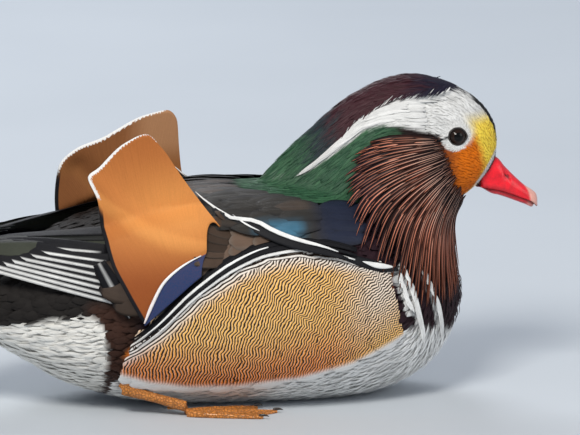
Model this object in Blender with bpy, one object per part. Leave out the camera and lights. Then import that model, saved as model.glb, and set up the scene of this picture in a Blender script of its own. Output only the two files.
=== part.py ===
"""A drake mandarin duck at rest on its belly, life size, as a still museum model.

The bill points along +X, the bird's left is +Y and the floor is Z = 0.
Design sizes are in millimetres and become metres where a mesh is made.
"""

import math

import bmesh
import bpy
import numpy as np
from mathutils import Vector
from mathutils.bvhtree import BVHTree

MM = 0.001
GAP = 0.35
RIGHT, LEFT = -1, 1
SIDES = {"right": RIGHT, "left": LEFT}
FAR = 200

# Torso lines: x, top, bottom, height of the widest place, half width
TORSO = (
    (-131, 53, 51, 52, 1),
    (-126, 58, 46, 52, 9),
    (-112, 65, 38, 52, 20),
    (-90, 76, 24, 50, 33),
    (-62, 90, 8, 48, 44.5),
    (-30, 100, 0, 47, 51.5),
    (5, 104, -2.2, 47, 54.5),
    (40, 104, -2.4, 48, 54.5),
    (70, 101, -1.2, 49, 51.5),
    (94, 93, 4, 50, 44),
    (111, 81, 14, 51, 33.5),
    (122, 68, 28, 50, 20),
    (127.5, 56, 42, 50, 9),
    (128.5, 51, 49, 50, 1),
)
TORSO_POWER = 2.25
TORSO_STEPS = 60
TORSO_LEVEL = 50.0

# Head and neck lines, level by level: z, back, front, half width
HOOD = (
    (48, 45, 122, 40),
    (62, 36, 122.5, 38),
    (72, 31, 121.5, 34),
    (82, 27, 121, 30),
    (90, 25, 123, 27),
    (97, 25, 131, 25),
    (104, 27, 140.5, 23),
    (112, 33, 146, 21.5),
    (120, 41, 147, 20.5),
    (129, 51, 146.2, 19.7),
    (137, 60, 142.8, 18),
    (144, 69, 137, 15.5),
    (150, 80, 128, 12),
    (154, 90, 117, 8),
    (156, 101, 107, 1.5),
)
HOOD_REAR_TAPER = 0.85
HOOD_FRONT_ROUND = 0.5
HOOD_STEPS = 48

# How the skin is grown over torso and hood, smoothed, and how many triangles it keeps
VOXEL = 2.6
SMOOTHING, SMOOTH_ROUNDS = 0.5, 9
FLESH_TRIANGLES = 2000

# Cutting planes: a point and the normal that points into the second part
NECK_CUT = ((80, 0, 86), (0.36, 0, 0.93))
HEAD_CUT = ((96, 0, 118), (0.55, 0, 0.835))
TAIL_CUT = ((-88, 0, 50), (-1, 0, 0))

# Bill lines: x, top of the culmen, cutting edge, half width
UPPER_BILL = (
    (137, 117, 100.2, 8.0),
    (146, 114, 98.4, 7.9),
    (150, 109.4, 97, 7.3),
    (155, 104.2, 95, 6.7),
    (160, 99.6, 93, 6.3),
    (163.5, 97.2, 91.2, 5.2),
    (165.6, 95.4, 89.8, 3.2),
    (166.4, 93.4, 89.6, 1.2),
)
BILL_POWER = 2.3
BILL_LIP = 0.5
BILL_CLEAR = 0.01
LOWER_BILL_DROP = 3.2
LOWER_BILL_NARROWER = 1.2
LOWER_BILL_BACK = 1.6
BILL_FOOT = ((139, 0, 106), (0.82, 0, -0.57))
NOSTRIL = (150.2, 4.6, 105.2)
NOSTRIL_HALF = (2.3, 2.2, 0.9)

EYE = (123.6, 14.0, 129.8)
EYE_RADIUS = 5.4
LID_RADIUS = 4.9
LID_THICK = 0.8
LID_SEAT = 2.9
LID_FACES = (0.12, 1.0, 0.05)

FINISHES = {
    "breast_feather": ((0.035, 0.012, 0.022), 0.55),
    "neck_feather": ((0.10, 0.03, 0.02), 0.6),
    "face_feather": ((0.80, 0.74, 0.62), 0.8),
    "crest_feather": ((0.05, 0.09, 0.06), 0.45),
    "ruff_feather": ((0.42, 0.12, 0.05), 0.55),
    "flank_feather": ((0.62, 0.36, 0.12), 0.75),
    "wing_feather": ((0.09, 0.08, 0.07), 0.6),
    "scapular_feather": ((0.03, 0.05, 0.09), 0.4),
    "sail_feather": ((0.62, 0.26, 0.07), 0.65),
    "tail_feather": ((0.045, 0.035, 0.028), 0.6),
    "bill_horn": ((0.62, 0.03, 0.04), 0.35),
    "eye_dark": ((0.01, 0.007, 0.005), 0.05),
    "foot_skin": ((0.75, 0.32, 0.05), 0.5),
}


def clear_scene():
    for old in list(bpy.data.objects):
        bpy.data.objects.remove(old)


def make_materials():
    made = {}
    for name, (colour, roughness) in FINISHES.items():
        material = bpy.data.materials.new(name)
        material.use_nodes = True
        shader = material.node_tree.nodes["Principled BSDF"]
        shader.inputs["Base Color"].default_value = (*colour, 1)
        shader.inputs["Roughness"].default_value = roughness
        made[name] = material
    return made


def eased(rows, count):
    """Rows of sizes joined by one smooth curve for each column, read at count even steps."""
    rows = np.array(rows, float)
    steps = np.diff(rows, axis=0)
    slopes = np.zeros_like(rows)
    before, after = steps[:-1], steps[1:]
    same_way = before * after > 0
    total = np.where(same_way, before + after, 1)
    slopes[1:-1] = np.where(same_way, 2 * before * after / total, 0)
    slopes[0], slopes[-1] = steps[0], steps[-1]
    at = np.linspace(0, len(rows) - 1, count)
    i = np.minimum(at.astype(int), len(rows) - 2)
    t = (at - i)[:, None]
    return (
        rows[i] * (1 + 2 * t) * (1 - t) ** 2
        + slopes[i] * t * (1 - t) ** 2
        + rows[i + 1] * t**2 * (3 - 2 * t)
        + slopes[i + 1] * t**2 * (t - 1)
    )


def rounded(value, power):
    return np.sign(value) * np.abs(value) ** (2 / power)


def torso_ring(x, top, bottom, wide, half, sides=40):
    angle = np.linspace(0, 2 * np.pi, sides, endpoint=False)
    across, up = rounded(np.cos(angle), TORSO_POWER), rounded(np.sin(angle), TORSO_POWER)
    height = np.where(up > 0, top - wide, wide - bottom)
    return np.stack([np.full(sides, x), half * across, wide + height * up], axis=1)


def hood_ring(z, back, front, half, sides=44):
    """A level of the head and neck: an egg, blunt in front and drawn out to the nape."""
    turn = np.linspace(0, 2 * np.pi, sides, endpoint=False)
    along = 0.5 + 0.5 * np.cos(turn)
    widest = HOOD_REAR_TAPER / (HOOD_REAR_TAPER + HOOD_FRONT_ROUND)
    spread = (along / widest) ** HOOD_REAR_TAPER
    spread *= ((1 - along) / (1 - widest)) ** HOOD_FRONT_ROUND
    x = back + (front - back) * along
    return np.stack([x, half * spread * np.sign(np.sin(turn)), np.full(sides, z)], axis=1)


def loft(rings):
    """A closed skin over rings of equal count, with a fan at each end."""
    rings = np.asarray(rings, float)
    count, sides = rings.shape[:2]
    points = [*rings.reshape(-1, 3), rings[0].mean(axis=0), rings[-1].mean(axis=0)]
    first, last = count * sides, count * sides + 1
    faces = []
    for k in range(sides):
        j = (k + 1) % sides
        faces.append((first, j, k))
        faces.append((last, (count - 1) * sides + k, (count - 1) * sides + j))
        for i in range(count - 1):
            a, b = i * sides + k, i * sides + j
            faces += [(a, b, b + sides), (a, b + sides, a + sides)]
    return points, faces


def mesh_of(points, faces, name="piece"):
    mesh = bpy.data.meshes.new(name)
    mesh.from_pydata([tuple(float(c) * MM for c in p) for p in points], [], faces)
    shape = bmesh.new()
    shape.from_mesh(mesh)
    bmesh.ops.remove_doubles(shape, verts=shape.verts, dist=1e-7)
    bmesh.ops.recalc_face_normals(shape, faces=shape.faces)
    shape.to_mesh(mesh)
    shape.free()
    return mesh


def add_object(name, mesh):
    made = bpy.data.objects.new(name, mesh)
    bpy.context.scene.collection.objects.link(made)
    return made


def evaluated(made):
    """Applies an object's modifiers."""
    graph = bpy.context.evaluated_depsgraph_get()
    mesh = bpy.data.meshes.new_from_object(made.evaluated_get(graph))
    made.modifiers.clear()
    made.data = mesh
    return made


def flesh_form():
    """Torso, neck and head grown into one skin: the fine skin, then the faceted one."""
    torso = loft([torso_ring(*row) for row in eased(TORSO, TORSO_STEPS)])
    hood = loft([hood_ring(*row) for row in eased(HOOD, HOOD_STEPS)])
    body = add_object("flesh", mesh_of(*torso))
    neck = mesh_of(*hood)
    shape = bmesh.new()
    shape.from_mesh(body.data)
    shape.from_mesh(neck)
    shape.to_mesh(body.data)
    shape.free()
    grown = body.modifiers.new("grown", "REMESH")
    grown.mode = "VOXEL"
    grown.voxel_size = VOXEL * MM
    smoothed = body.modifiers.new("smoothed", "SMOOTH")
    smoothed.factor = SMOOTHING
    smoothed.iterations = SMOOTH_ROUNDS
    evaluated(body)
    ground = Ground(body.data)
    fewer = body.modifiers.new("fewer", "DECIMATE")
    fewer.use_symmetry = True
    fewer.symmetry_axis = "Y"
    fewer.ratio = FLESH_TRIANGLES / (2 * len(body.data.polygons))
    evaluated(body)
    return ground, body


class Ground:
    """The fine skin that feathers are laid on. Its points are in millimetres."""

    def __init__(self, mesh):
        mesh.calc_loop_triangles()
        self.points = [v.co / MM for v in mesh.vertices]
        self.normals = [v.normal.copy() for v in mesh.vertices]
        self.faces = [tuple(t.vertices) for t in mesh.loop_triangles]
        self.tree = BVHTree.FromPolygons(self.points, self.faces)

    def normal(self, place, face):
        """The skin's direction, blended between the corners of a face."""
        corners = self.faces[face]
        near = [1 / (0.05 + (place - self.points[c]).length) for c in corners]
        return sum((self.normals[c] * w for c, w in zip(corners, near)), Vector()).normalized()

    def near(self, point, height):
        place, _, face, _ = self.tree.find_nearest(Vector(point))
        up = self.normal(place, face)
        return place + up * height, up

    def side(self, x, z, side, height):
        """The skin seen from one side at x and z."""
        start = Vector((x, side * FAR, z))
        place, _, face, _ = self.tree.ray_cast(start, Vector((0, -side, 0)))
        if place is None:
            return self.near((x, side * 6, z), height)
        up = self.normal(place, face)
        return place + up * height, up

    def around(self, x, degrees, side, height):
        """The skin at x, met from an angle above the level through the torso's middle."""
        angle = math.radians(degrees)
        way = Vector((0, side * math.cos(angle), math.sin(angle)))
        centre = Vector((x, 0, TORSO_LEVEL))
        place, _, face, _ = self.tree.ray_cast(centre + way * FAR, -way)
        if place is None:
            return self.near(centre + way * 30, height)
        up = self.normal(place, face)
        return place + up * height, up


def bezier(a, b, c, d, t):
    a, b, c, d = (np.array(p, float) for p in (a, b, c, d))
    t = np.asarray(t, float)[:, None]
    return a * (1 - t) ** 3 + 3 * b * t * (1 - t) ** 2 + 3 * c * t**2 * (1 - t) + d * t**3


def unit(v):
    return v / np.maximum(np.linalg.norm(v, axis=-1, keepdims=True), 1e-9)


def slab(lower, upper):
    """A closed slab between two grids of points, split alike on both faces."""
    lower, upper = np.array(lower, float), np.array(upper, float)
    rows, columns = lower.shape[:2]
    points = np.concatenate([lower.reshape(-1, 3), upper.reshape(-1, 3)])
    lift = rows * columns
    faces = []
    for i in range(rows - 1):
        for j in range(columns - 1):
            a, b = i * columns + j, i * columns + j + 1
            c, d = b + columns, a + columns
            faces += [(a, b, c), (a, c, d)]
            faces += [(a + lift, c + lift, b + lift), (a + lift, d + lift, c + lift)]
    rim = list(range(columns))
    rim += [i * columns + columns - 1 for i in range(1, rows)]
    rim += [(rows - 1) * columns + j for j in range(columns - 2, -1, -1)]
    rim += [i * columns for i in range(rows - 2, 0, -1)]
    for a, b in zip(rim, rim[1:] + rim[:1]):
        faces += [(a, a + lift, b + lift), (a, b + lift, b)]
    return points, faces


def laid_slab(lay, rows, columns, low, high):
    """A slab over the skin. lay(u, v, height) gives a place for u and v from 0 to 1."""
    def grid(height):
        across = np.linspace(0, 1, columns)
        return [[lay(u, v, height)[0] for v in across] for u in np.linspace(0, 1, rows)]
    return slab(grid(low), grid(high))


ROOT_THIN = 0.4


def comb(lay, count, rings, notch, heights, thick, reach=1.0, tip=0.15, power=1.4):
    """A tier of feathers grown from one sheet: joined up to the notch, then apart to their tips.

    lay(u, v, height) gives a place for u from root to tip and v across the tier.
    heights are those of the root, of the next ring and of the tips. reach is a share of the
    length, or a function of a feather's number. A high power keeps the ends broad.
    """
    points, faces, index = [], [], {}
    root, risen, high = heights

    def reached(i):
        if callable(reach):
            return reach(i)
        return reach + (1 - reach) * (0.5 + 0.5 * math.cos(2.4 * i + 0.7))

    def corner(i, k, edge, upper):
        """A feather's corner. Neighbours share theirs up to the notch."""
        shared = k <= notch
        key = (i + edge, k, upper) if shared else (i, edge, k, upper)
        if key not in index:
            free = max(0, (k - notch) / (rings - 1 - notch))
            u = k / (rings - 1) * (1 - (1 - reached(i)) * free)
            spread = 1 if shared else 1 - (1 - tip) * free**power
            v = (i + 0.5 + (edge - 0.5) * spread) / count
            height = root if k == 0 else risen + (high - risen) * (k - 1) / (rings - 2)
            half = thick / 2 * (ROOT_THIN if k == 0 else 1)
            index[key] = len(points)
            points.append(lay(u, v, height + (half if upper else -half))[0])
        return index[key]

    def quad(a, b, c, d):
        faces.extend([(a, b, c), (a, c, d)])

    for i in range(count):
        for k in range(rings - 1):
            (a, b), (d, c) = [[corner(i, n, e, False) for e in (0, 1)] for n in (k, k + 1)]
            (e, f), (h, g) = [[corner(i, n, e, True) for e in (0, 1)] for n in (k, k + 1)]
            quad(a, b, c, d)
            faces.extend([(e, g, f), (e, h, g)])
            if k >= notch or i == 0:
                quad(a, d, h, e)
            if k >= notch or i == count - 1:
                quad(b, f, g, c)
            if k == 0:
                quad(a, e, f, b)
            if k == rings - 2:
                quad(d, c, g, h)
    return points, faces


def largest_piece(mesh):
    """Keeps the largest closed surface of a mesh."""
    shape = bmesh.new()
    shape.from_mesh(mesh)
    left, islands = set(shape.faces), []
    while left:
        stack = [left.pop()]
        island = set(stack)
        while stack:
            for edge in stack.pop().edges:
                for face in edge.link_faces:
                    if face in left:
                        left.remove(face)
                        island.add(face)
                        stack.append(face)
        islands.append(island)
    islands.sort(key=lambda island: -sum(f.calc_area() for f in island))
    loose = [f for island in islands[1:] for f in island]
    bmesh.ops.delete(shape, geom=loose, context="FACES")
    bmesh.ops.dissolve_degenerate(shape, dist=2e-6, edges=shape.edges)
    bmesh.ops.triangulate(shape, faces=shape.faces)
    shape.to_mesh(mesh)
    shape.free()


def fused(name, pieces, finish, cutters=()):
    """One closed body from overlapping closed pieces, less the cutters."""
    made = add_object(name, mesh_of(*pieces[0]))
    others = bpy.data.collections.new(name + "_pieces")
    bpy.context.scene.collection.children.link(others)
    for points, faces in pieces[1:]:
        others.objects.link(bpy.data.objects.new("piece", mesh_of(points, faces)))
    if len(pieces) > 1:
        join = made.modifiers.new("join", "BOOLEAN")
        join.operation, join.operand_type = "UNION", "COLLECTION"
        join.collection, join.solver = others, "MANIFOLD"
    for cutter in cutters:
        trim = made.modifiers.new("trim", "BOOLEAN")
        trim.operation, trim.solver, trim.object = "DIFFERENCE", "MANIFOLD", cutter
    evaluated(made)
    for piece in list(others.objects):
        bpy.data.objects.remove(piece)
    bpy.data.collections.remove(others)
    largest_piece(made.data)
    made.data.materials.clear()
    made.data.materials.append(finish)
    return made


def cut_away(mesh, point, normal, shift=0.0):
    """Removes what lies beyond a plane and closes the cut."""
    normal = Vector(normal).normalized()
    shape = bmesh.new()
    shape.from_mesh(mesh)
    geometry = shape.verts[:] + shape.edges[:] + shape.faces[:]
    bmesh.ops.bisect_plane(
        shape, geom=geometry, dist=1e-8, clear_outer=True,
        plane_co=Vector(point) * MM + normal * shift * MM, plane_no=normal,
    )
    open_edges = [e for e in shape.edges if e.is_boundary]
    bmesh.ops.holes_fill(shape, edges=open_edges)
    bmesh.ops.triangulate(shape, faces=shape.faces)
    shape.to_mesh(mesh)
    shape.free()


def part_of(name, body, finish, *planes):
    """A part of the body between planes, each given as a cut and +1 or -1 for the side kept."""
    made = add_object(name, body.data.copy())
    for (point, normal), keep in planes:
        cut_away(made.data, point, Vector(normal) * -keep, -GAP / 2)
    largest_piece(made.data)
    made.data.materials.clear()
    made.data.materials.append(finish)
    return made


def swollen(body, by, name="cutter"):
    """A hidden copy of a body, larger by a gap, to trim its neighbours with."""
    cutter = add_object(name, body.data.copy())
    cutter.hide_render, cutter.display_type = True, "WIRE"
    grow = cutter.modifiers.new("grow", "DISPLACE")
    grow.strength, grow.mid_level = by * MM, 0.0
    return evaluated(cutter)


def bill_rings(lower, extra=0.0, steps=12, sides=14):
    """Rings of a mandible: the upper arches over the cutting edge, the lower is a shallow dish."""
    rings = []
    for x, top, edge, half in eased(UPPER_BILL, steps):
        turn = np.linspace(0, 2 * np.pi, sides, endpoint=False)
        across, up = rounded(np.cos(turn), BILL_POWER), rounded(np.sin(turn), BILL_POWER)
        if lower:
            half = half - LOWER_BILL_NARROWER * min(1, half / 3)
            drop = LOWER_BILL_DROP * min(1, half / 4) + extra
            height = np.where(up > 0, extra + BILL_CLEAR, drop)
            z = edge - GAP - BILL_CLEAR + height * up
            x = x - LOWER_BILL_BACK
        else:
            height = np.where(up > 0, top - edge + extra, BILL_LIP + extra)
            z = edge + BILL_LIP + (height - BILL_LIP) * up
        rings.append(np.stack([np.full(sides, x), (half + extra) * across, z], axis=1))
    return rings


def ball(centre, halves, around=12, rows=8):
    """A closed ball, or an egg where halves has three sizes."""
    rings = []
    for tilt in np.linspace(-np.pi / 2, np.pi / 2, rows)[1:-1]:
        turn = np.linspace(0, 2 * np.pi, around, endpoint=False)
        ring = [np.cos(tilt) * np.cos(turn), np.full(around, np.sin(tilt)), np.cos(tilt) * np.sin(turn)]
        rings.append(np.stack(ring, axis=1))
    points, faces = loft(rings)
    points[-2], points[-1] = np.array([0, -1, 0]), np.array([0, 1, 0])
    return [np.array(p) * halves + centre for p in points], faces


def ring_tube(centre, outward, radius, thick, around=14, sides=4):
    """A closed ring, such as the rim of an eyelid, facing outward."""
    outward = unit(np.array(outward, float))
    first = unit(np.cross(outward, (0, 0, 1)))
    second = np.cross(outward, first)
    points, faces = [], []
    for i in range(around):
        turn = 2 * np.pi * i / around
        way = first * math.cos(turn) + second * math.sin(turn)
        for k in range(sides):
            roll = 2 * np.pi * k / sides
            reach = radius + thick * math.cos(roll)
            points.append(centre + way * reach + outward * thick * math.sin(roll))
            a, b = i * sides + k, i * sides + (k + 1) % sides
            c, d = (b + sides) % (around * sides), (a + sides) % (around * sides)
            faces += [(a, b, c), (a, c, d)]
    return points, faces


def make_head(body, finishes, bill_cutters):
    """The head with its sockets and lids, and the eyes."""
    head = part_of("head", body, finishes["face_feather"], (HEAD_CUT, 1))
    sockets, lids = [], []
    for word, side in SIDES.items():
        centre = np.array([EYE[0], side * EYE[1], EYE[2]])
        fused("eye_" + word, [ball(centre, EYE_RADIUS)], finishes["eye_dark"])
        socket = add_object("socket", mesh_of(*ball(centre, EYE_RADIUS + GAP)))
        socket.hide_render, socket.display_type = True, "WIRE"
        sockets.append(socket)
        outward = np.array(LID_FACES) * (1, side, 1)
        rim = centre + unit(outward) * LID_SEAT
        lids.append(ring_tube(rim, outward, LID_RADIUS, LID_THICK))
    points = [tuple(v.co / MM) for v in head.data.vertices]
    faces = [tuple(f.vertices) for f in head.data.polygons]
    bpy.data.objects.remove(head)
    fused("head", [(points, faces), *lids], finishes["face_feather"], [*sockets, *bill_cutters])


def make_bill(finishes):
    """Both mandibles, cut off square behind the feather line, the upper with its nostrils.

    Returns the hidden shapes that make room for them in the head.
    """
    cutters = []
    for name, lower in (("bill_upper", False), ("bill_lower", True)):
        wide = mesh_of(*loft(bill_rings(lower, GAP)))
        cutter = add_object(name + "_cutter", wide)
        cutter.hide_render, cutter.display_type = True, "WIRE"
        cut_away(cutter.data, BILL_FOOT[0], -Vector(BILL_FOOT[1]), GAP)
        cutters.append(cutter)
        trim = []
        if not lower:
            for side in SIDES.values():
                centre = np.array(NOSTRIL) * (1, side, 1)
                pit = add_object("nostril", mesh_of(*ball(centre, np.array(NOSTRIL_HALF), 8, 5)))
                pit.hide_render, pit.display_type = True, "WIRE"
                trim.append(pit)
        mandible = fused(name, [loft(bill_rings(lower))], finishes["bill_horn"], trim)
        cut_away(mandible.data, BILL_FOOT[0], -Vector(BILL_FOOT[1]))
    return cutters


# Ruff: roots along the cheek's edge and tips round the neck, as x, z seen from the side
RUFF_ROOTS = ((104, 128), (112, 124), (117, 116), (120, 108), (124, 101), (129, 95.5))
RUFF_TIPS = ((70, 117), (67.5, 101), (70, 84), (80, 68), (94, 55), (106, 48), (116, 48), (123, 54))
RUFF_TIERS = (
    # locks, rings, notch, heights, how far the tier reaches, first and last share
    (12, 7, 3, (1.3, 1.4, 2.7), 1.0, 0.0, 1.0),
    (11, 6, 2, (1.6, 2.7, 4.0), 0.84, 0.02, 0.97),
)
RUFF_THICK = 0.8
LINE_STEPS = 100


def read_line(rows, share):
    """The place at a share of the way along a smooth line through rows."""
    line = eased(rows, LINE_STEPS + 1)
    at = share * LINE_STEPS
    i = min(int(at), LINE_STEPS - 1)
    return line[i] + (line[i + 1] - line[i]) * (at - i)


def ruff_path(share, along):
    """Places on one lock's line from cheek to tip, seen from the side."""
    root, tip = read_line(RUFF_ROOTS, share), read_line(RUFF_TIPS, share)
    span = np.linalg.norm(tip - root)
    leaving = np.array([-1.0, 0.12 - 1.1 * share])
    arriving = np.array([-0.75 + 0.95 * share, -0.25 - 0.75 * min(1, share * 2)])
    second, third = root + unit(leaving) * span * 0.33, tip - unit(arriving) * span * 0.33
    return bezier(root, second, third, tip, along)


def make_ruff(word, side, ground, finish, cutters):
    """Two tiers of narrow locks from the cheek's edge over the neck and breast."""
    pieces = []
    for locks, rings, notch, heights, far, first, last in RUFF_TIERS:
        def lay(u, v, height):
            x, z = ruff_path(first + (last - first) * v, (u * far,))[0]
            return ground.side(x, z, side, height)
        pieces.append(comb(lay, locks, rings, notch, heights, RUFF_THICK, 0.88))
    return fused("ruff_" + word, pieces, finish, cutters)


# Crest: a line inside the head, from the forehead to the nape, that its tiers are laid round
CREST_FROM, CREST_TO = (128, 128), (52, 88)
CREST_THICK = 0.7
CREST_CORE = (0.85, 1.7)
CORE_HALF_FRONT, CORE_HALF_REAR = 26, 48
CREST_TIERS = (
    # locks, rings, notch, heights, root and tip along the line, half angle at root and tip
    (5, 5, 2, (1.3, 2.35, 3.9), -0.08, 0.32, 26, 38),
    (6, 5, 2, (1.3, 2.35, 3.9), 0.10, 0.62, 36, 44),
    (6, 5, 2, (1.3, 2.35, 3.9), 0.36, 0.94, 42, 50),
)
NAPE_TIER = (14, 6, 2, (1.3, 2.25, 3.0))
NAPE_HALF = 98
NAPE_ROOT, NAPE_ROOT_OUTER = 0.64, 0.81
NAPE_TIP, NAPE_TIP_OUTER = 1.2, 0.88


def crest_place(ground, along, degrees, height):
    """The skin met from an angle round the crest's line, 0 being straight above it."""
    start, end = np.array(CREST_FROM, float), np.array(CREST_TO, float)
    x, z = start + (end - start) * along
    way_x, way_z = unit(end - start)
    angle = math.radians(degrees)
    way = Vector((way_z * math.cos(angle), math.sin(angle), -way_x * math.cos(angle)))
    centre = Vector((x, 0, z))
    place, _, face, _ = ground.tree.ray_cast(centre + way * FAR, -way)
    if place is None or (place - centre).dot(way) < 0:
        return ground.near(centre + way * 20, height)
    up = ground.normal(place, face)
    return place + up * height, up


def make_crest(ground, finish, cutters):
    """Four tiers of long locks from the crown over the nape, on a thin core."""
    def core(u, v, height):
        half = CORE_HALF_FRONT + (CORE_HALF_REAR - CORE_HALF_FRONT) * u
        return crest_place(ground, -0.12 + 0.92 * u, (2 * v - 1) * half, height)
    pieces = [laid_slab(core, 11, 7, *CREST_CORE)]
    for locks, rings, notch, heights, root, tip, root_half, tip_half in CREST_TIERS:
        def lay(u, v, height):
            half = root_half + (tip_half - root_half) * u
            return crest_place(ground, root + (tip - root) * u, (2 * v - 1) * half, height)
        pieces.append(comb(lay, locks, rings, notch, heights, CREST_THICK, 0.85))

    def nape(u, v, height):
        degrees = (2 * v - 1) * NAPE_HALF
        outer = abs(degrees) / NAPE_HALF
        root = NAPE_ROOT + (NAPE_ROOT_OUTER - NAPE_ROOT) * min(1, 1.5 * outer) ** 2
        tip = NAPE_TIP + (NAPE_TIP_OUTER - NAPE_TIP) * outer**1.3
        return crest_place(ground, root + (tip - root) * u, degrees * (1 - 0.12 * u), height)
    locks, rings, notch, heights = NAPE_TIER
    pieces.append(comb(nape, locks, rings, notch, heights, CREST_THICK, 0.88))
    return fused("crest", pieces, finish, cutters)


# Flank: upper and lower edge of the buff panel, x and z seen from the side
FLANK_TOP = ((86, 71), (63, 76), (38, 79), (8, 74), (-12, 62), (-32, 44), (-52, 30))
FLANK_BOTTOM = ((93, 37), (66, 24), (38, 17), (8, 14), (-14, 14), (-34, 17), (-57, 24))
FLANK_HEIGHTS = (1.2, 1.3, 1.9)
FLANK_THICK = 1.1
FLANK_FEATHERS = 6


def make_flank(word, side, ground, finish, cutters):
    """The buff side panel, ending behind in long round feathers."""
    def lay(u, v, height):
        low, high = read_line(FLANK_BOTTOM, u), read_line(FLANK_TOP, u)
        x, z = low + (high - low) * v
        return ground.side(x, z, side, height)
    tier = comb(lay, FLANK_FEATHERS, 12, 8, FLANK_HEIGHTS, FLANK_THICK, 0.93, 0.3, 3.0)
    return fused("flank_" + word, [tier], finish, cutters)


# Wing: the line it folds along over the flank, x and z, and its tiers
WING_EDGE = ((58, 79.5), (38, 81.5), (8, 76.5), (-12, 64.5), (-32, 46.5), (-52, 34))
WING_FRONT, WING_REAR = 54, -46
WING_TOP_ANGLE = 64
WING_LOW, WING_HIGH = 0.8, 1.6
VANE_THICK = 0.7
WING_TIERS = (
    # feathers, rings, notch, heights, first and last u, first and last v
    (5, 5, 2, (1.2, 2.2, 2.7), 0.40, 0.73, 0.03, 0.8),
    (5, 5, 2, (1.2, 2.2, 2.7), 0.66, 0.99, 0.03, 0.7),
)
PRIMARY_TIERS = (
    # feathers, lift at the root and further on, shortening, and where on the root line it starts
    (4, 0.0, 0.0, 0.0, 0.0),
    (3, 0.5, 1.6, 0.16, 0.2),
)
PRIMARY_ROOTS = ((-37, 50), (-41, 74))
PRIMARY_TIPS = ((-139, 7.5, 83), (-108, 13, 88))
PRIMARY_SEAT = 1.25
PRIMARY_BULGE = 6.0


def wing_place(ground, side, u, v, height):
    """u runs from the shoulder to the rump, v from the flank to the back."""
    x = WING_FRONT + (WING_REAR - WING_FRONT) * u
    edge = np.array(WING_EDGE)
    level = np.interp(-x, -edge[:, 0], edge[:, 1])
    start, _ = ground.side(x, level + 1.0, side, 0)
    angle = math.degrees(math.atan2(start.z - TORSO_LEVEL, abs(start.y)))
    return ground.around(x, angle + (WING_TOP_ANGLE - angle) * v, side, height)


def make_wing(word, side, ground, finish, cutters):
    """The folded wing: a core, tiers of coverts and secondaries, and the primaries."""
    def lay(u, v, height):
        return wing_place(ground, side, u, v, height)
    pieces = [laid_slab(lay, 11, 5, WING_LOW, WING_HIGH)]
    for count, rings, notch, heights, first, last, low, high in WING_TIERS:
        def tier(u, v, height):
            return lay(first + (last - first) * u, low + (high - low) * v, height)
        pieces.append(comb(tier, count, rings, notch, heights, VANE_THICK, 0.95, 0.35, 3.0))
    pieces += primaries(side, ground)
    return fused("wing_" + word, pieces, finish, cutters)


def primaries(side, ground):
    """Tiers of stiff quills that leave the wing low on the rump and close over the tail."""
    made = []
    for count, lift, risen, shorter, start in PRIMARY_TIERS:
        def lay(u, v, height):
            share = start + (1 - start) * v
            (x, z), (x_last, z_last) = PRIMARY_ROOTS
            at_x, at_z = x + (x_last - x) * share, z + (z_last - z) * share
            place, up = ground.side(at_x, at_z, side, PRIMARY_SEAT)
            first, last = np.array(PRIMARY_TIPS, float)
            tip = (first + (last - first) * share) * (1, side, 1)
            root = np.array(place)
            tip = tip + (root - tip) * shorter
            outward = unit(np.array([0.1, side * 0.9, 0.35 + 0.35 * share]))
            bulge = np.array([0, side * (PRIMARY_BULGE - 2 * share), 1.5])
            along = tip - root
            line = bezier(root, root + along * 0.33 + bulge, root + along * 0.7 + bulge, tip, (u,))[0]
            blend = min(1, 2 * u)
            facing = unit(np.array(up) * (1 - blend) + outward * blend)
            return line + facing * (height + lift + (risen - lift) * min(1, 3 * u)), facing
        made.append(comb(lay, count, 8, 3, (0, 0, 0), VANE_THICK, 0.93, 0.4, 3.0))
    return made


# Scapulars: tiers of shoulder feathers over the folded wing
SCAPULAR_TIERS = (
    # feathers, rings, notch, heights, first and last u
    (5, 6, 2, (0.5, 0.8, 1.5), 0.02, 1.0),
    (4, 6, 2, (0.8, 2.1, 2.7), 0.08, 0.62),
)
SCAPULAR_FRONT, SCAPULAR_REAR = 66, -10
SCAPULAR_BASE_FRONT, SCAPULAR_BASE = 0.8, 3.4
SCAPULAR_LOW_FRONT, SCAPULAR_LOW_REAR = 30, 60
SCAPULAR_TOP = ((0, 10, 29, 43, 60, 66), (74, 72, 64, 54, 42, 39))


def make_scapulars(word, side, ground, finish, cutters):
    """Two tiers of long feathers from the shoulder. In front of the wing they lie on the skin."""
    def lay(u, v, height):
        x = SCAPULAR_FRONT + (SCAPULAR_REAR - SCAPULAR_FRONT) * u
        low = SCAPULAR_LOW_FRONT + (SCAPULAR_LOW_REAR - SCAPULAR_LOW_FRONT) * u**0.8
        over_wing = max(0, min(1, (62 - x) / 12))
        base = SCAPULAR_BASE_FRONT + (SCAPULAR_BASE - SCAPULAR_BASE_FRONT) * over_wing
        top = np.interp(x, *SCAPULAR_TOP)
        return ground.around(x, low + (top - low) * v, side, base + height)
    pieces = []
    for count, rings, notch, heights, first, last in SCAPULAR_TIERS:
        def tier(u, v, height):
            return lay(first + (last - first) * u, v, height)
        pieces.append(comb(tier, count, rings, notch, heights, VANE_THICK, 0.9, 0.3, 2.6))
    return fused("scapulars_" + word, pieces, finish, cutters)


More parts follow.
